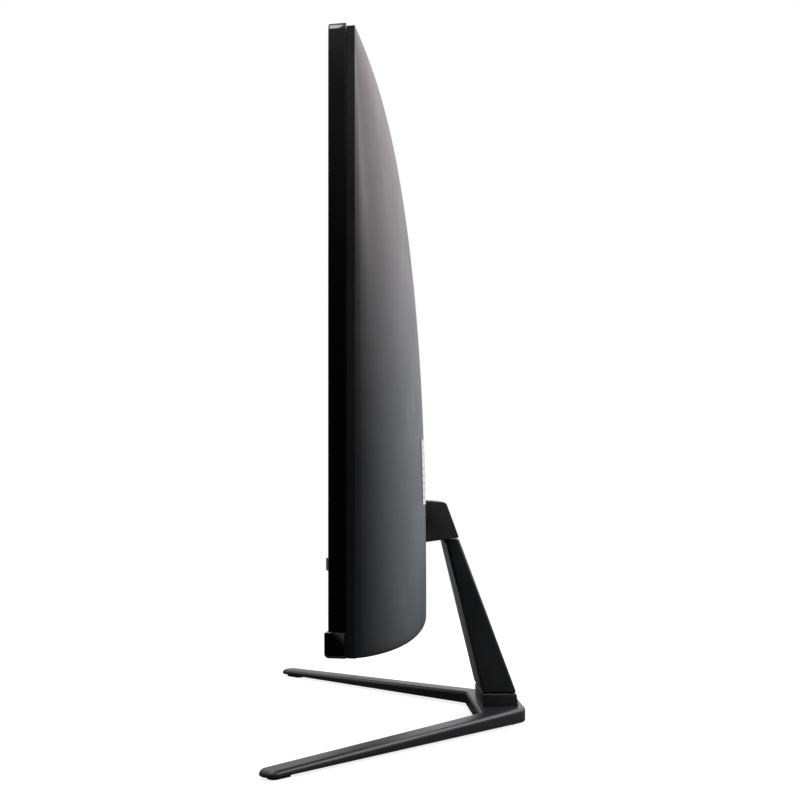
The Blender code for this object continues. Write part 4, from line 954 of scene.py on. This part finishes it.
def make_front_frame():
    """Three-sided gloss frame, carried round the screen in one sweep."""
    section = rounded([(0, 0, 0.0013), (0, BEZEL_DEPTH, 0.0001), (BEZEL_WALL, BEZEL_DEPTH, 0.0001),
                       (BEZEL_WALL, 0, 0.0005)], 6)
    left, top = -HALF_ARC, DISPLAY_HEIGHT
    bottom = CHIN_HEIGHT + GAP
    foot = top - CHAMFER_HIGH
    slant = CREASE * CHAMFER_WIDE / CHAMFER_HIGH
    path = [(left, bottom + (foot - CREASE - bottom) * step / 12, -1.0, 0.0) for step in range(13)]
    path += [(left + slant / 2, foot, -1.0, 0.0), (left + slant, foot + CREASE, -1.0, 0.0),
             (left + CHAMFER_WIDE - 2 * slant, top - 2 * CREASE, -0.68, 0.90),
             (left + CHAMFER_WIDE, top - CREASE, -0.68, 0.95),
             (left + CHAMFER_WIDE + CREASE, top, -0.66, 1.0)]
    corner = len(path)
    span = 2 * (HALF_ARC - CHAMFER_HIGH)
    path += [(left + CHAMFER_HIGH + span * step / 72, top, 0.0, 1.0) for step in range(73)]
    path += [(-along, height, -out_along, out_up)
             for along, height, out_along, out_up in reversed(path[:corner])]
    rings = []
    for along, height, out_along, out_up in path:
        rings.append([roll(along - out_along * inwards, depth, height - out_up * inwards)
                      for inwards, depth in section])
    finish_piece(lofted("gloss_frame", rings), "gloss_black", "display", ["front_frame"], angle=40)


def chin_rings():
    """Sections of the chin, drawn in at both ends."""
    section = rounded([(-CHIN_PROUD, 0, 0.0024), (BEZEL_DEPTH, 0, 0.0008),
                       (BEZEL_DEPTH, CHIN_HEIGHT, 0.0003), (-CHIN_PROUD, CHIN_HEIGHT, 0.0008)], 7)
    end_round, side_round = 0.0020, 0.0009
    middle = (BEZEL_DEPTH - CHIN_PROUD) / 2
    width = BEZEL_DEPTH + CHIN_PROUD
    distances = [end_round * (1 - math.cos(math.pi / 2 * step / 8)) for step in range(9)]
    inner = HALF_ARC - end_round
    places = [-HALF_ARC + distance for distance in distances]
    places += [-inner + 2 * inner * step / 72 for step in range(1, 72)]
    places += [HALF_ARC - distance for distance in reversed(distances)]
    rings = []
    for along in places:
        distance = HALF_ARC - abs(along)
        lift, drawn_in = 0.0, 0.0
        if distance < end_round:
            lift = end_round - math.sqrt(max(0.0, end_round ** 2 - (end_round - distance) ** 2))
        if distance < side_round:
            drawn_in = side_round - math.sqrt(max(0.0, side_round ** 2 - (side_round - distance) ** 2))
        ring = []
        for depth, height in section:
            shrunk = middle + (depth - middle) * (1 - 2 * drawn_in / width)
            ring.append(roll(along, shrunk, lift + height * (CHIN_HEIGHT - lift) / CHIN_HEIGHT))
        rings.append(ring)
    return rings


def key_outline(index, grown, radius):
    middle = KEY_FIRST - index * KEY_PITCH
    half_width, half_depth = KEY_SIZE[0] / 2 + grown, KEY_SIZE[1] / 2 + grown
    return box_outline((middle - half_width, KEY_DEPTH - half_depth),
                       (middle + half_width, KEY_DEPTH + half_depth), radius, 5)


def rolled_ring(outline, height):
    return [roll(along, depth, height) for along, depth in outline]


def make_chin():
    """Gloss chin, hollow behind, with the keys' slots and the light's hole."""
    chin = lofted("gloss_chin", chin_rings())
    inner = HALF_ARC - BEZEL_WALL
    corners = ((GLASS_SETBACK, BEZEL_WALL), (RIM_DEPTH, BEZEL_WALL), (RIM_DEPTH, 2 * CHIN_HEIGHT),
               (GLASS_SETBACK, 2 * CHIN_HEIGHT))
    hollow = lofted("chin_hollow", [[roll(-inner + 2 * inner * step / 64, depth, height)
                                     for depth, height in corners] for step in range(65)])
    form = bmesh.new()
    for index in range(len(KEY_NAMES)):
        outline = key_outline(index, GAP, 0.0009)
        loft(form, [rolled_ring(outline, -BEZEL_WALL), rolled_ring(outline, 2 * BEZEL_WALL)])
    slots = raw("key_slots", form)
    hole = circle((LIGHT_AT, CHIN_HEIGHT / 3), LIGHT_RADIUS + 0.0001, 24)
    light_hole = lofted("light_hole", [[roll(along, depth, height) for along, height in hole]
                                       for depth in (-2 * CHIN_PROUD, CHIN_HEIGHT)])
    carve(chin, hollow, slots, light_hole)
    finish_piece(chin, "gloss_black", "display", ["chin"], angle=32)


def make_keys():
    """Keys with crowned, soft-edged feet, each on its own flange."""
    foot = ((0.0011, -KEY_PROUD), (0.0006, -KEY_PROUD + 0.00008), (0.00025, -KEY_PROUD + 0.00025),
            (0.00006, -KEY_PROUD + 0.00055), (0.0, 0.0), (0.0, BEZEL_WALL + GAP))
    flange = (BEZEL_WALL + GAP + 0.00002, BEZEL_WALL + 2 * KEY_PROUD)
    for index, name in enumerate(KEY_NAMES):
        rings = [rolled_ring(key_outline(index, -inset, max(KEY_ROUND - inset, 0.0002)), height)
                 for inset, height in foot]
        rings += [rolled_ring(key_outline(index, KEY_FLANGE, KEY_ROUND), height) for height in flange]
        finish_piece(lofted(f"{name}_cap", rings), "gloss_black", f"{name}_body", [name], angle=50)


def make_power_light():
    """Small light pipe with a domed face."""
    dome = ((0.0004, -CHIN_PROUD), (0.0008, -CHIN_PROUD + 0.00008), (LIGHT_RADIUS, -CHIN_PROUD + 0.0003),
            (LIGHT_RADIUS, GLASS_SETBACK + BEZEL_WALL))
    rings = []
    for radius, depth in dome:
        outline = circle((LIGHT_AT, CHIN_HEIGHT / 3), radius, 24)
        rings.append([roll(along, depth, height) for along, height in outline])
    finish_piece(lofted("light_pipe", rings), "clear_plastic", "display", ["power_light"], angle=50)


def make_screen():
    """Front glass of the panel with its etched film and slightly rounded edges."""
    low, high = (corner.z - DISPLAY_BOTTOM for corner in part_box("lcd_glass"))
    half = HALF_ARC - BEZEL_WALL - GAP
    section = rounded([(GLASS_SETBACK, low, 0.0003), (GLASS_SETBACK + GLASS_THICKNESS, low, 0.0002),
                       (GLASS_SETBACK + GLASS_THICKNESS, high, 0.0002), (GLASS_SETBACK, high, 0.0003)], 3)
    rings = [[roll(-half + 2 * half * step / 96, depth, height) for depth, height in section]
             for step in range(97)]
    finish_piece(lofted("screen_glass", rings), "screen", "display", ["lcd_glass"], angle=30)


# ---------------------------------------------------------------- hinge cover, neck and base
HEAD_WALL = 0.0020
HEAD_NOTCH = 0.0033             # shallow gap between the two claws
HEAD_TOP_FALL = 0.0012
HEAD_ROUND = 0.0042             # upper rear corner
HEAD_REAR_SLOPE = 0.366
NOTCH_LOW = PIVOT.z - 0.0104
NOTCH_HIGH = PIVOT.z - 0.0010
REAR_WALL_FOOT = PIVOT.z + 0.0046
HEAD_REAR_FOOT = (PIVOT.y + 0.0145, PIVOT.z - 0.0144)


def head_rear(z):
    return HEAD_REAR_FOOT[0] - (z - HEAD_REAR_FOOT[1]) * HEAD_REAR_SLOPE


def make_hinge_cover():
    """Cap over the hinge, with two claws towards the display and an open foot for the neck."""
    low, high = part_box("hinge_cover")
    front, notch = low.y, low.y + HEAD_NOTCH
    top, bottom = high.z, low.z
    rear_top = top - HEAD_TOP_FALL
    outline = rounded([
        (front, top, 0.0010), (head_rear(rear_top), rear_top, HEAD_ROUND), (*HEAD_REAR_FOOT, 0.0008),
        (front, bottom, 0.0012), (front, NOTCH_LOW - HEAD_TOP_FALL, 0.0006), (notch, NOTCH_LOW, 0.0006),
        (notch, NOTCH_HIGH, 0.0006), (front, NOTCH_HIGH + HEAD_NOTCH, 0.0006)], steps=8)
    cap = extruded("hinge_cap", outline, low.x, high.x, "x")
    soften(cap, 0.0007, 4, 50)
    inner = high.x - HEAD_WALL
    far, below = PIVOT.y + 0.052, bottom - HEAD_WALL
    lip, lip_back = bottom + HEAD_WALL * 1.4, PIVOT.y + GAP
    hollow = [(notch + HEAD_WALL, top - HEAD_WALL),
              (head_rear(top - HEAD_WALL) - HEAD_WALL, top - HEAD_WALL - HEAD_TOP_FALL),
              (head_rear(REAR_WALL_FOOT) - HEAD_WALL, REAR_WALL_FOOT), (far, REAR_WALL_FOOT),
              (far, below), (lip_back, below), (lip_back, lip), (notch + HEAD_WALL, lip)]
    plate_low, plate_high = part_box("hinge_bracket")
    window = box_outline((-plate_high.x - 2 * GAP, plate_low.z - 2 * GAP),
                         (plate_high.x + 2 * GAP, plate_high.z + 2 * GAP), 0.0005)
    carve(cap, extruded("head_hollow", hollow, -inner, inner, "x"),
          extruded("head_window", window, front - HEAD_WALL, notch + 1.5 * HEAD_WALL, "y"))
    finish_piece(cap, "matte_black", "display", ["hinge_cover"], angle=35)


NECK_SHOULDER = 0.0147          # from the pivot down to the top of the wide bar
NECK_FRONT_LEAN = 0.2411        # how far each face moves back per metre down
NECK_REAR_LEAN = 0.3750
NECK_FRONT_Y = PIVOT.y - 0.0002
NECK_REAR_Y = NECK_FRONT_Y + 0.0092
NECK_ROUND = 0.0024
BASE_SCREW_HOLE = 0.0031


def neck_front(z):
    return NECK_FRONT_Y + (PIVOT.z - z) * NECK_FRONT_LEAN


def neck_rear(z):
    return NECK_REAR_Y + (PIVOT.z - z) * NECK_REAR_LEAN


def make_neck():
    """Sloping bar with softly rounded edges, and the tongue that holds the hinge barrel."""
    foot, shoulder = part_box("neck")[0].z, PIVOT.z - NECK_SHOULDER
    outline = [(neck_front(foot), foot), (neck_rear(foot), foot), (neck_rear(shoulder), shoulder),
               (neck_front(shoulder), shoulder)]
    neck = extruded("neck_bar", outline, -NECK_HALF, NECK_HALF, "x")
    soften(neck, NECK_ROUND, 6, 30)
    low = shoulder - BARREL_RADIUS
    tongue = [(neck_front(low) + GAP, low), (neck_rear(low) - GAP, low)]
    for step in range(37):
        angle = math.radians(-20 + 210 * step / 36)
        tongue.append((PIVOT.y + BARREL_RADIUS * math.cos(angle),
                       PIVOT.z + BARREL_RADIUS * math.sin(angle)))
    carve(neck, extruded("tongue", tongue, -BARREL_WIDTH / 2, BARREL_WIDTH / 2, "x"), operation="UNION")
    bore = circle((PIVOT.y, PIVOT.z), PIN_RADIUS, 32)
    thread = circle(plan_middle("base_screw"), BASE_SCREW_HOLE, 32)
    carve(neck, extruded("bore", bore, -NECK_HALF, NECK_HALF, "x"),
          extruded("thread", thread, 0.0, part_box("base_screw")[1].z + GAP, "z"))
    finish_piece(neck, "graphite_paint", "stand", ["neck"], angle=35)


LEG_TIP_WIDTH = 0.0176
LEG_ROOT_WIDTH = 0.0180
LEG_TIP_HALF_SPACING = 0.195
LEG_ROOT = (0.0383, 0.0832)
NOSE_HALF_WIDTH = 0.024
NOSE_ROUND = 0.020
WEB_FRONT = 0.0635
WEB_ROUND = 0.004
LEG_UNDERSIDE = 0.0025
TIP_TOP = 0.0066
ROOT_TOP = 0.0142
LEG_TOP_ROUND = 0.0034
LEG_FOOT_ROUND = 0.0006
STUB_FLARE = 0.0018
STUB_ROUND = 0.0012
BASE_SCREW_HEAD = 0.0085
BASE_SCREW_RECESS = 0.0090      # how far up from the table


def base_top(y):
    tip_y, nose_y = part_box("base")[0].y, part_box("base")[1].y
    return TIP_TOP + (ROOT_TOP - TIP_TOP) * (y - tip_y) / (nose_y - tip_y)


def base_outline():
    """Plan of both legs, the nose between them and the web at the inside corner."""
    tip_y, nose_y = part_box("base")[0].y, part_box("base")[1].y
    tip = Vector((LEG_TIP_HALF_SPACING, tip_y + LEG_TIP_WIDTH / 2 + 0.0001))
    root = Vector(LEG_ROOT)
    along = (tip - root).normalized()
    out = Vector((-along.y, along.x)) if along.y < 0 else Vector((along.y, -along.x))
    half_tip, half_root = LEG_TIP_WIDTH / 2, LEG_ROOT_WIDTH / 2
    tip_outer, tip_inner = tip + along * half_tip + out * half_tip, tip + along * half_tip - out * half_tip
    root_outer, root_inner = root + out * half_root, root - out * half_root
    outer_run, inner_run = root_outer - tip_outer, root_inner - tip_inner
    nose = root_outer + outer_run * ((nose_y - root_outer.y) / outer_run.y)
    web = root_inner + inner_run * ((WEB_FRONT - root_inner.y) / inner_run.y)
    right = [(max(nose.x, NOSE_HALF_WIDTH), nose_y, NOSE_ROUND), (*tip_outer, half_tip),
             (*tip_inner, half_tip), (web.x, WEB_FRONT, WEB_ROUND)]
    left = [(-x, y, radius) for x, y, radius in reversed(right)]
    return rounded(right + left, steps=12)


def make_base():
    """V of two crowned legs, with the stub that carries the neck."""
    outline = base_outline()
    form = bmesh.new()
    loft(form, [[(x, y, LEG_UNDERSIDE) for x, y in outline], [(x, y, base_top(y)) for x, y in outline]])
    weights = form.edges.layers.float.new("bevel_weight_edge")
    for edge in form.edges:
        heights = [vert.co.z for vert in edge.verts]
        if min(heights) > LEG_UNDERSIDE + GAP:
            edge[weights] = 1.0
        elif max(heights) < LEG_UNDERSIDE + GAP:
            edge[weights] = LEG_FOOT_ROUND / LEG_TOP_ROUND
    base = raw("v_base", form)
    edges = base.modifiers.new("crowned_legs", "BEVEL")
    edges.width = LEG_TOP_ROUND
    edges.segments = 8
    edges.limit_method = "WEIGHT"
    edges.use_clamp_overlap = True
    settle(base)
    low = base_top(neck_front(STUB_TOP)) - LEG_TOP_ROUND
    stub = [(neck_front(STUB_TOP) + GAP, STUB_TOP), (neck_front(STUB_TOP) + 2 * GAP, low),
            (neck_rear(STUB_TOP) + STUB_FLARE, low), (neck_rear(STUB_TOP) - GAP, STUB_TOP)]
    tool = extruded("stub", stub, -NECK_HALF, NECK_HALF, "x")
    carve(base, soften(tool, STUB_ROUND, 4, 30), operation="UNION")
    middle = plan_middle("base_screw")
    recess, passage = circle(middle, BASE_SCREW_HEAD + 2 * GAP, 48), circle(middle, BASE_SCREW_HOLE, 32)
    carve(base, extruded("recess", recess, 0.0, BASE_SCREW_RECESS, "z"),
          extruded("passage", passage, 0.0, 2 * STUB_TOP, "z"))
    finish_piece(base, "graphite_paint", "stand", ["base"], angle=35)


# ---------------------------------------------------------------- sockets and screws
CROSS_SLIMNESS = 0.26           # of each arm, as a share of its reach
SCREW_TURNS = 7
SOCKET_MOUTH_DEPTH = 0.0096
CONTACT_COUNT = 9


def round_rings(middle, steps, sides):
    """Level circles for a turned shape, from its (radius, height) steps."""
    return [[(x, y, z) for x, y in circle(middle, radius, sides)] for radius, z in steps]


def cross_recess(middle, low, high, reach):
    """A cross-shaped driver recess, cut into a screw's head."""
    outline = []
    quarter = [Vector((reach, -reach * CROSS_SLIMNESS)), Vector((reach, reach * CROSS_SLIMNESS)),
               Vector((reach * CROSS_SLIMNESS, reach * CROSS_SLIMNESS))]
    for _ in range(4):
        outline += [(middle[0] + point.x, middle[1] + point.y) for point in quarter]
        quarter = [Vector((-point.y, point.x)) for point in quarter]
    return extruded("cross", outline, low, high, "z")


def make_cover_screws():
    """Pan-head screws up through the cover's bottom wall."""
    for name in COVER_SCREWS:
        low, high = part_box(name)
        middle = plan_middle(name)
        radius = (high.x - low.x) / 2
        pitch = (high.z - low.z - 0.0016) / SCREW_TURNS
        turned = [(0.55, 0.0), (0.85, 0.0001), (1.0, 0.0004), (1.0, 0.0012), (0.55, 0.0012)]
        for turn in range(SCREW_TURNS):
            turned += [(share, 0.0014 + pitch * (turn + lift))
                       for share, lift in ((0.47, 0.0), (0.55, 0.25), (0.47, 0.5))]
        turned.append((0.3, high.z - low.z))
        rings = round_rings(middle, [(radius * share, low.z + up) for share, up in turned], 28)
        screw = lofted(f"{name}_pan_head", rings)
        carve(screw, cross_recess(middle, low.z - 0.001, low.z + 0.0008, radius * 0.5))
        finish_piece(screw, "dark_steel", "display", [name], angle=30)


def make_flat_socket(name, opening, keyed):
    """Metal-shelled socket: flared lip, hollow mouth, and a contact tongue inside."""
    low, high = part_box(name)
    middle = plan_middle(name)
    outline = box_outline((low.x, low.y), (high.x, high.y), 0.0009)
    shell = extruded(f"{name}_shell", outline, low.z, high.z, "z")
    half_width, half_depth = opening[0] / 2, opening[1] / 2
    left, right = middle[0] - half_width, middle[0] + half_width
    front, back = middle[1] - half_depth, middle[1] + half_depth
    if keyed == "both":
        mouth = rounded([(left, front, 0.0004), (right, front, 0.0004),
                         (right, back - 0.0018, 0.0006), (right - 0.0017, back, 0.0006),
                         (left + 0.0017, back, 0.0006), (left, back - 0.0018, 0.0006)], 4)
    else:
        mouth = rounded([(left, front, 0.0004), (right, front, 0.0004), (right, back, 0.0006),
                         (left + 0.0020, back, 0.0006), (left, back - 0.0020, 0.0006)], 4)
    carve(shell, extruded("mouth", mouth, low.z - 0.001, low.z + SOCKET_MOUTH_DEPTH, "z"))
    finish_piece(shell, "nickel", "display", [name], angle=35)
    tongue = box_outline((left + 0.0022, middle[1] - 0.0006), (right - 0.0022, middle[1] + 0.0006), 0.0003)
    finish_piece(extruded(f"{name}_tongue", tongue, low.z + 0.0010, low.z + SOCKET_MOUTH_DEPTH, "z"),
                 "matte_black", "display")
    form = bmesh.new()
    for index in range(CONTACT_COUNT):
        x = left + 0.0030 + (right - left - 0.0060) * index / (CONTACT_COUNT - 1)
        spring = box_outline((x - 0.00025, middle[1] - 0.00078),
                             (x + 0.00025, middle[1] - 0.00056), 0.00008, 2)
        prism(form, spring, low.z + 0.0014, low.z + 0.0092, "z")
    finish_piece(raw(f"{name}_contacts", form), GOLD, "display")


def make_round_socket(name, mouth_radius, pin_radius):
    """Square-bodied socket with a raised ring and a round mouth."""
    low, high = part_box(name)
    middle = plan_middle(name)
    outline = box_outline((low.x, low.y), (high.x, high.y), 0.0012)
    rings = []
    for share, z in ((0.90, low.z + 0.0006), (0.97, low.z + 0.0007), (1.0, low.z + 0.0011), (1.0, high.z)):
        rings.append([(middle[0] + (x - middle[0]) * share, middle[1] + (y - middle[1]) * share, z)
                      for x, y in outline])
    housing = lofted(f"{name}_housing", rings)
    ring_radius = mouth_radius + 0.36 * ((high.x - low.x) / 2 - mouth_radius)
    collar = ((ring_radius - 0.0003, low.z), (ring_radius, low.z + 0.0003), (ring_radius, low.z + 0.002))
    carve(housing, lofted("collar", round_rings(middle, collar, 40)), operation="UNION")
    mouth = ((mouth_radius + 0.0004, low.z - 0.0002), (mouth_radius, low.z + 0.0004),
             (mouth_radius, low.z + SOCKET_MOUTH_DEPTH))
    carve(housing, lofted("mouth", round_rings(middle, mouth, 40)))
    finish_piece(housing, "matte_black", "display", [name], angle=35)
    if pin_radius:
        pin = ((pin_radius * 0.4, low.z + 0.0012), (pin_radius * 0.85, low.z + 0.0014),
               (pin_radius, low.z + 0.0018), (pin_radius, low.z + SOCKET_MOUTH_DEPTH))
        finish_piece(lofted(f"{name}_pin", round_rings(middle, pin, 20)), "nickel", "display", angle=40)


def make_sockets():
    make_flat_socket("hdmi_socket_1", (0.0146, 0.0050), "both")
    make_flat_socket("hdmi_socket_2", (0.0146, 0.0050), "both")
    make_flat_socket("displayport_socket", (0.0162, 0.0050), "one")
    make_round_socket("power_socket", 0.0033, 0.0011)
    make_round_socket("audio_socket", 0.0018, 0)


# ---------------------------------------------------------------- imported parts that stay
KEPT = {
    "matte_black": ("panel_frame",),
    "clear_plastic": ("light_guide",),
    "white_film": ("diffuser_sheets", "reflector_sheet", "led_bar"),
    "zinc_steel": ("panel_tray", "chassis_bracket", "board_shield", "port_plate", "stand_mount", "hinge_pin",
                   "hinge_nut", "friction_washer_left", "friction_washer_right", "base_screw",
                   "vesa_post_1", "vesa_post_2", "vesa_post_3", "vesa_post_4"),
    "dark_steel": ("hinge_bracket", "mount_screw_1", "mount_screw_2", "mount_screw_3", "mount_screw_4"),
    "circuit_board": ("panel_driver_board", "main_board", "backlight_driver_board", "key_board"),
    "rubber": ("front_pad_left", "front_pad_right", "rear_pad_left", "rear_pad_right"),
    "ribbon": ("panel_ribbon",),
}
SOFT_EDGED = {
    "front_pad_left": 0.0005, "front_pad_right": 0.0005, "rear_pad_left": 0.0005, "rear_pad_right": 0.0005,
    "hinge_pin": 0.0003, "hinge_nut": 0.0003, "friction_washer_left": 0.0002, "friction_washer_right": 0.0002,
    "base_screw": 0.0003, "hinge_bracket": 0.0003, "mount_screw_1": 0.0003, "mount_screw_2": 0.0003,
    "mount_screw_3": 0.0003, "mount_screw_4": 0.0003, "vesa_post_1": 0.0002, "vesa_post_2": 0.0002,
    "vesa_post_3": 0.0002, "vesa_post_4": 0.0002,
}


def finish_kept_parts():
    """Materials, and small soft edges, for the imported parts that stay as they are."""
    for finish, names in KEPT.items():
        for name in names:
            part = frame["nodes"][name]
            part.data.materials.clear()
            part.data.materials.append(FINISH[finish])
            if name in SOFT_EDGED:
                bevel = part.modifiers.new("soft_edges", "BEVEL")
                bevel.width = SOFT_EDGED[name]
                bevel.segments = 2
                bevel.limit_method = "ANGLE"
                bevel.angle_limit = math.radians(40)


# ---------------------------------------------------------------- build
bpy.context.scene.view_settings.view_transform = "Standard"
set_camera()
set_studio()
lay_floor()
make_rear_cover()
make_label()
make_front_frame()
make_chin()
make_keys()
make_power_light()
make_screen()
make_hinge_cover()
make_neck()
make_base()
make_cover_screws()
make_sockets()
finish_kept_parts()
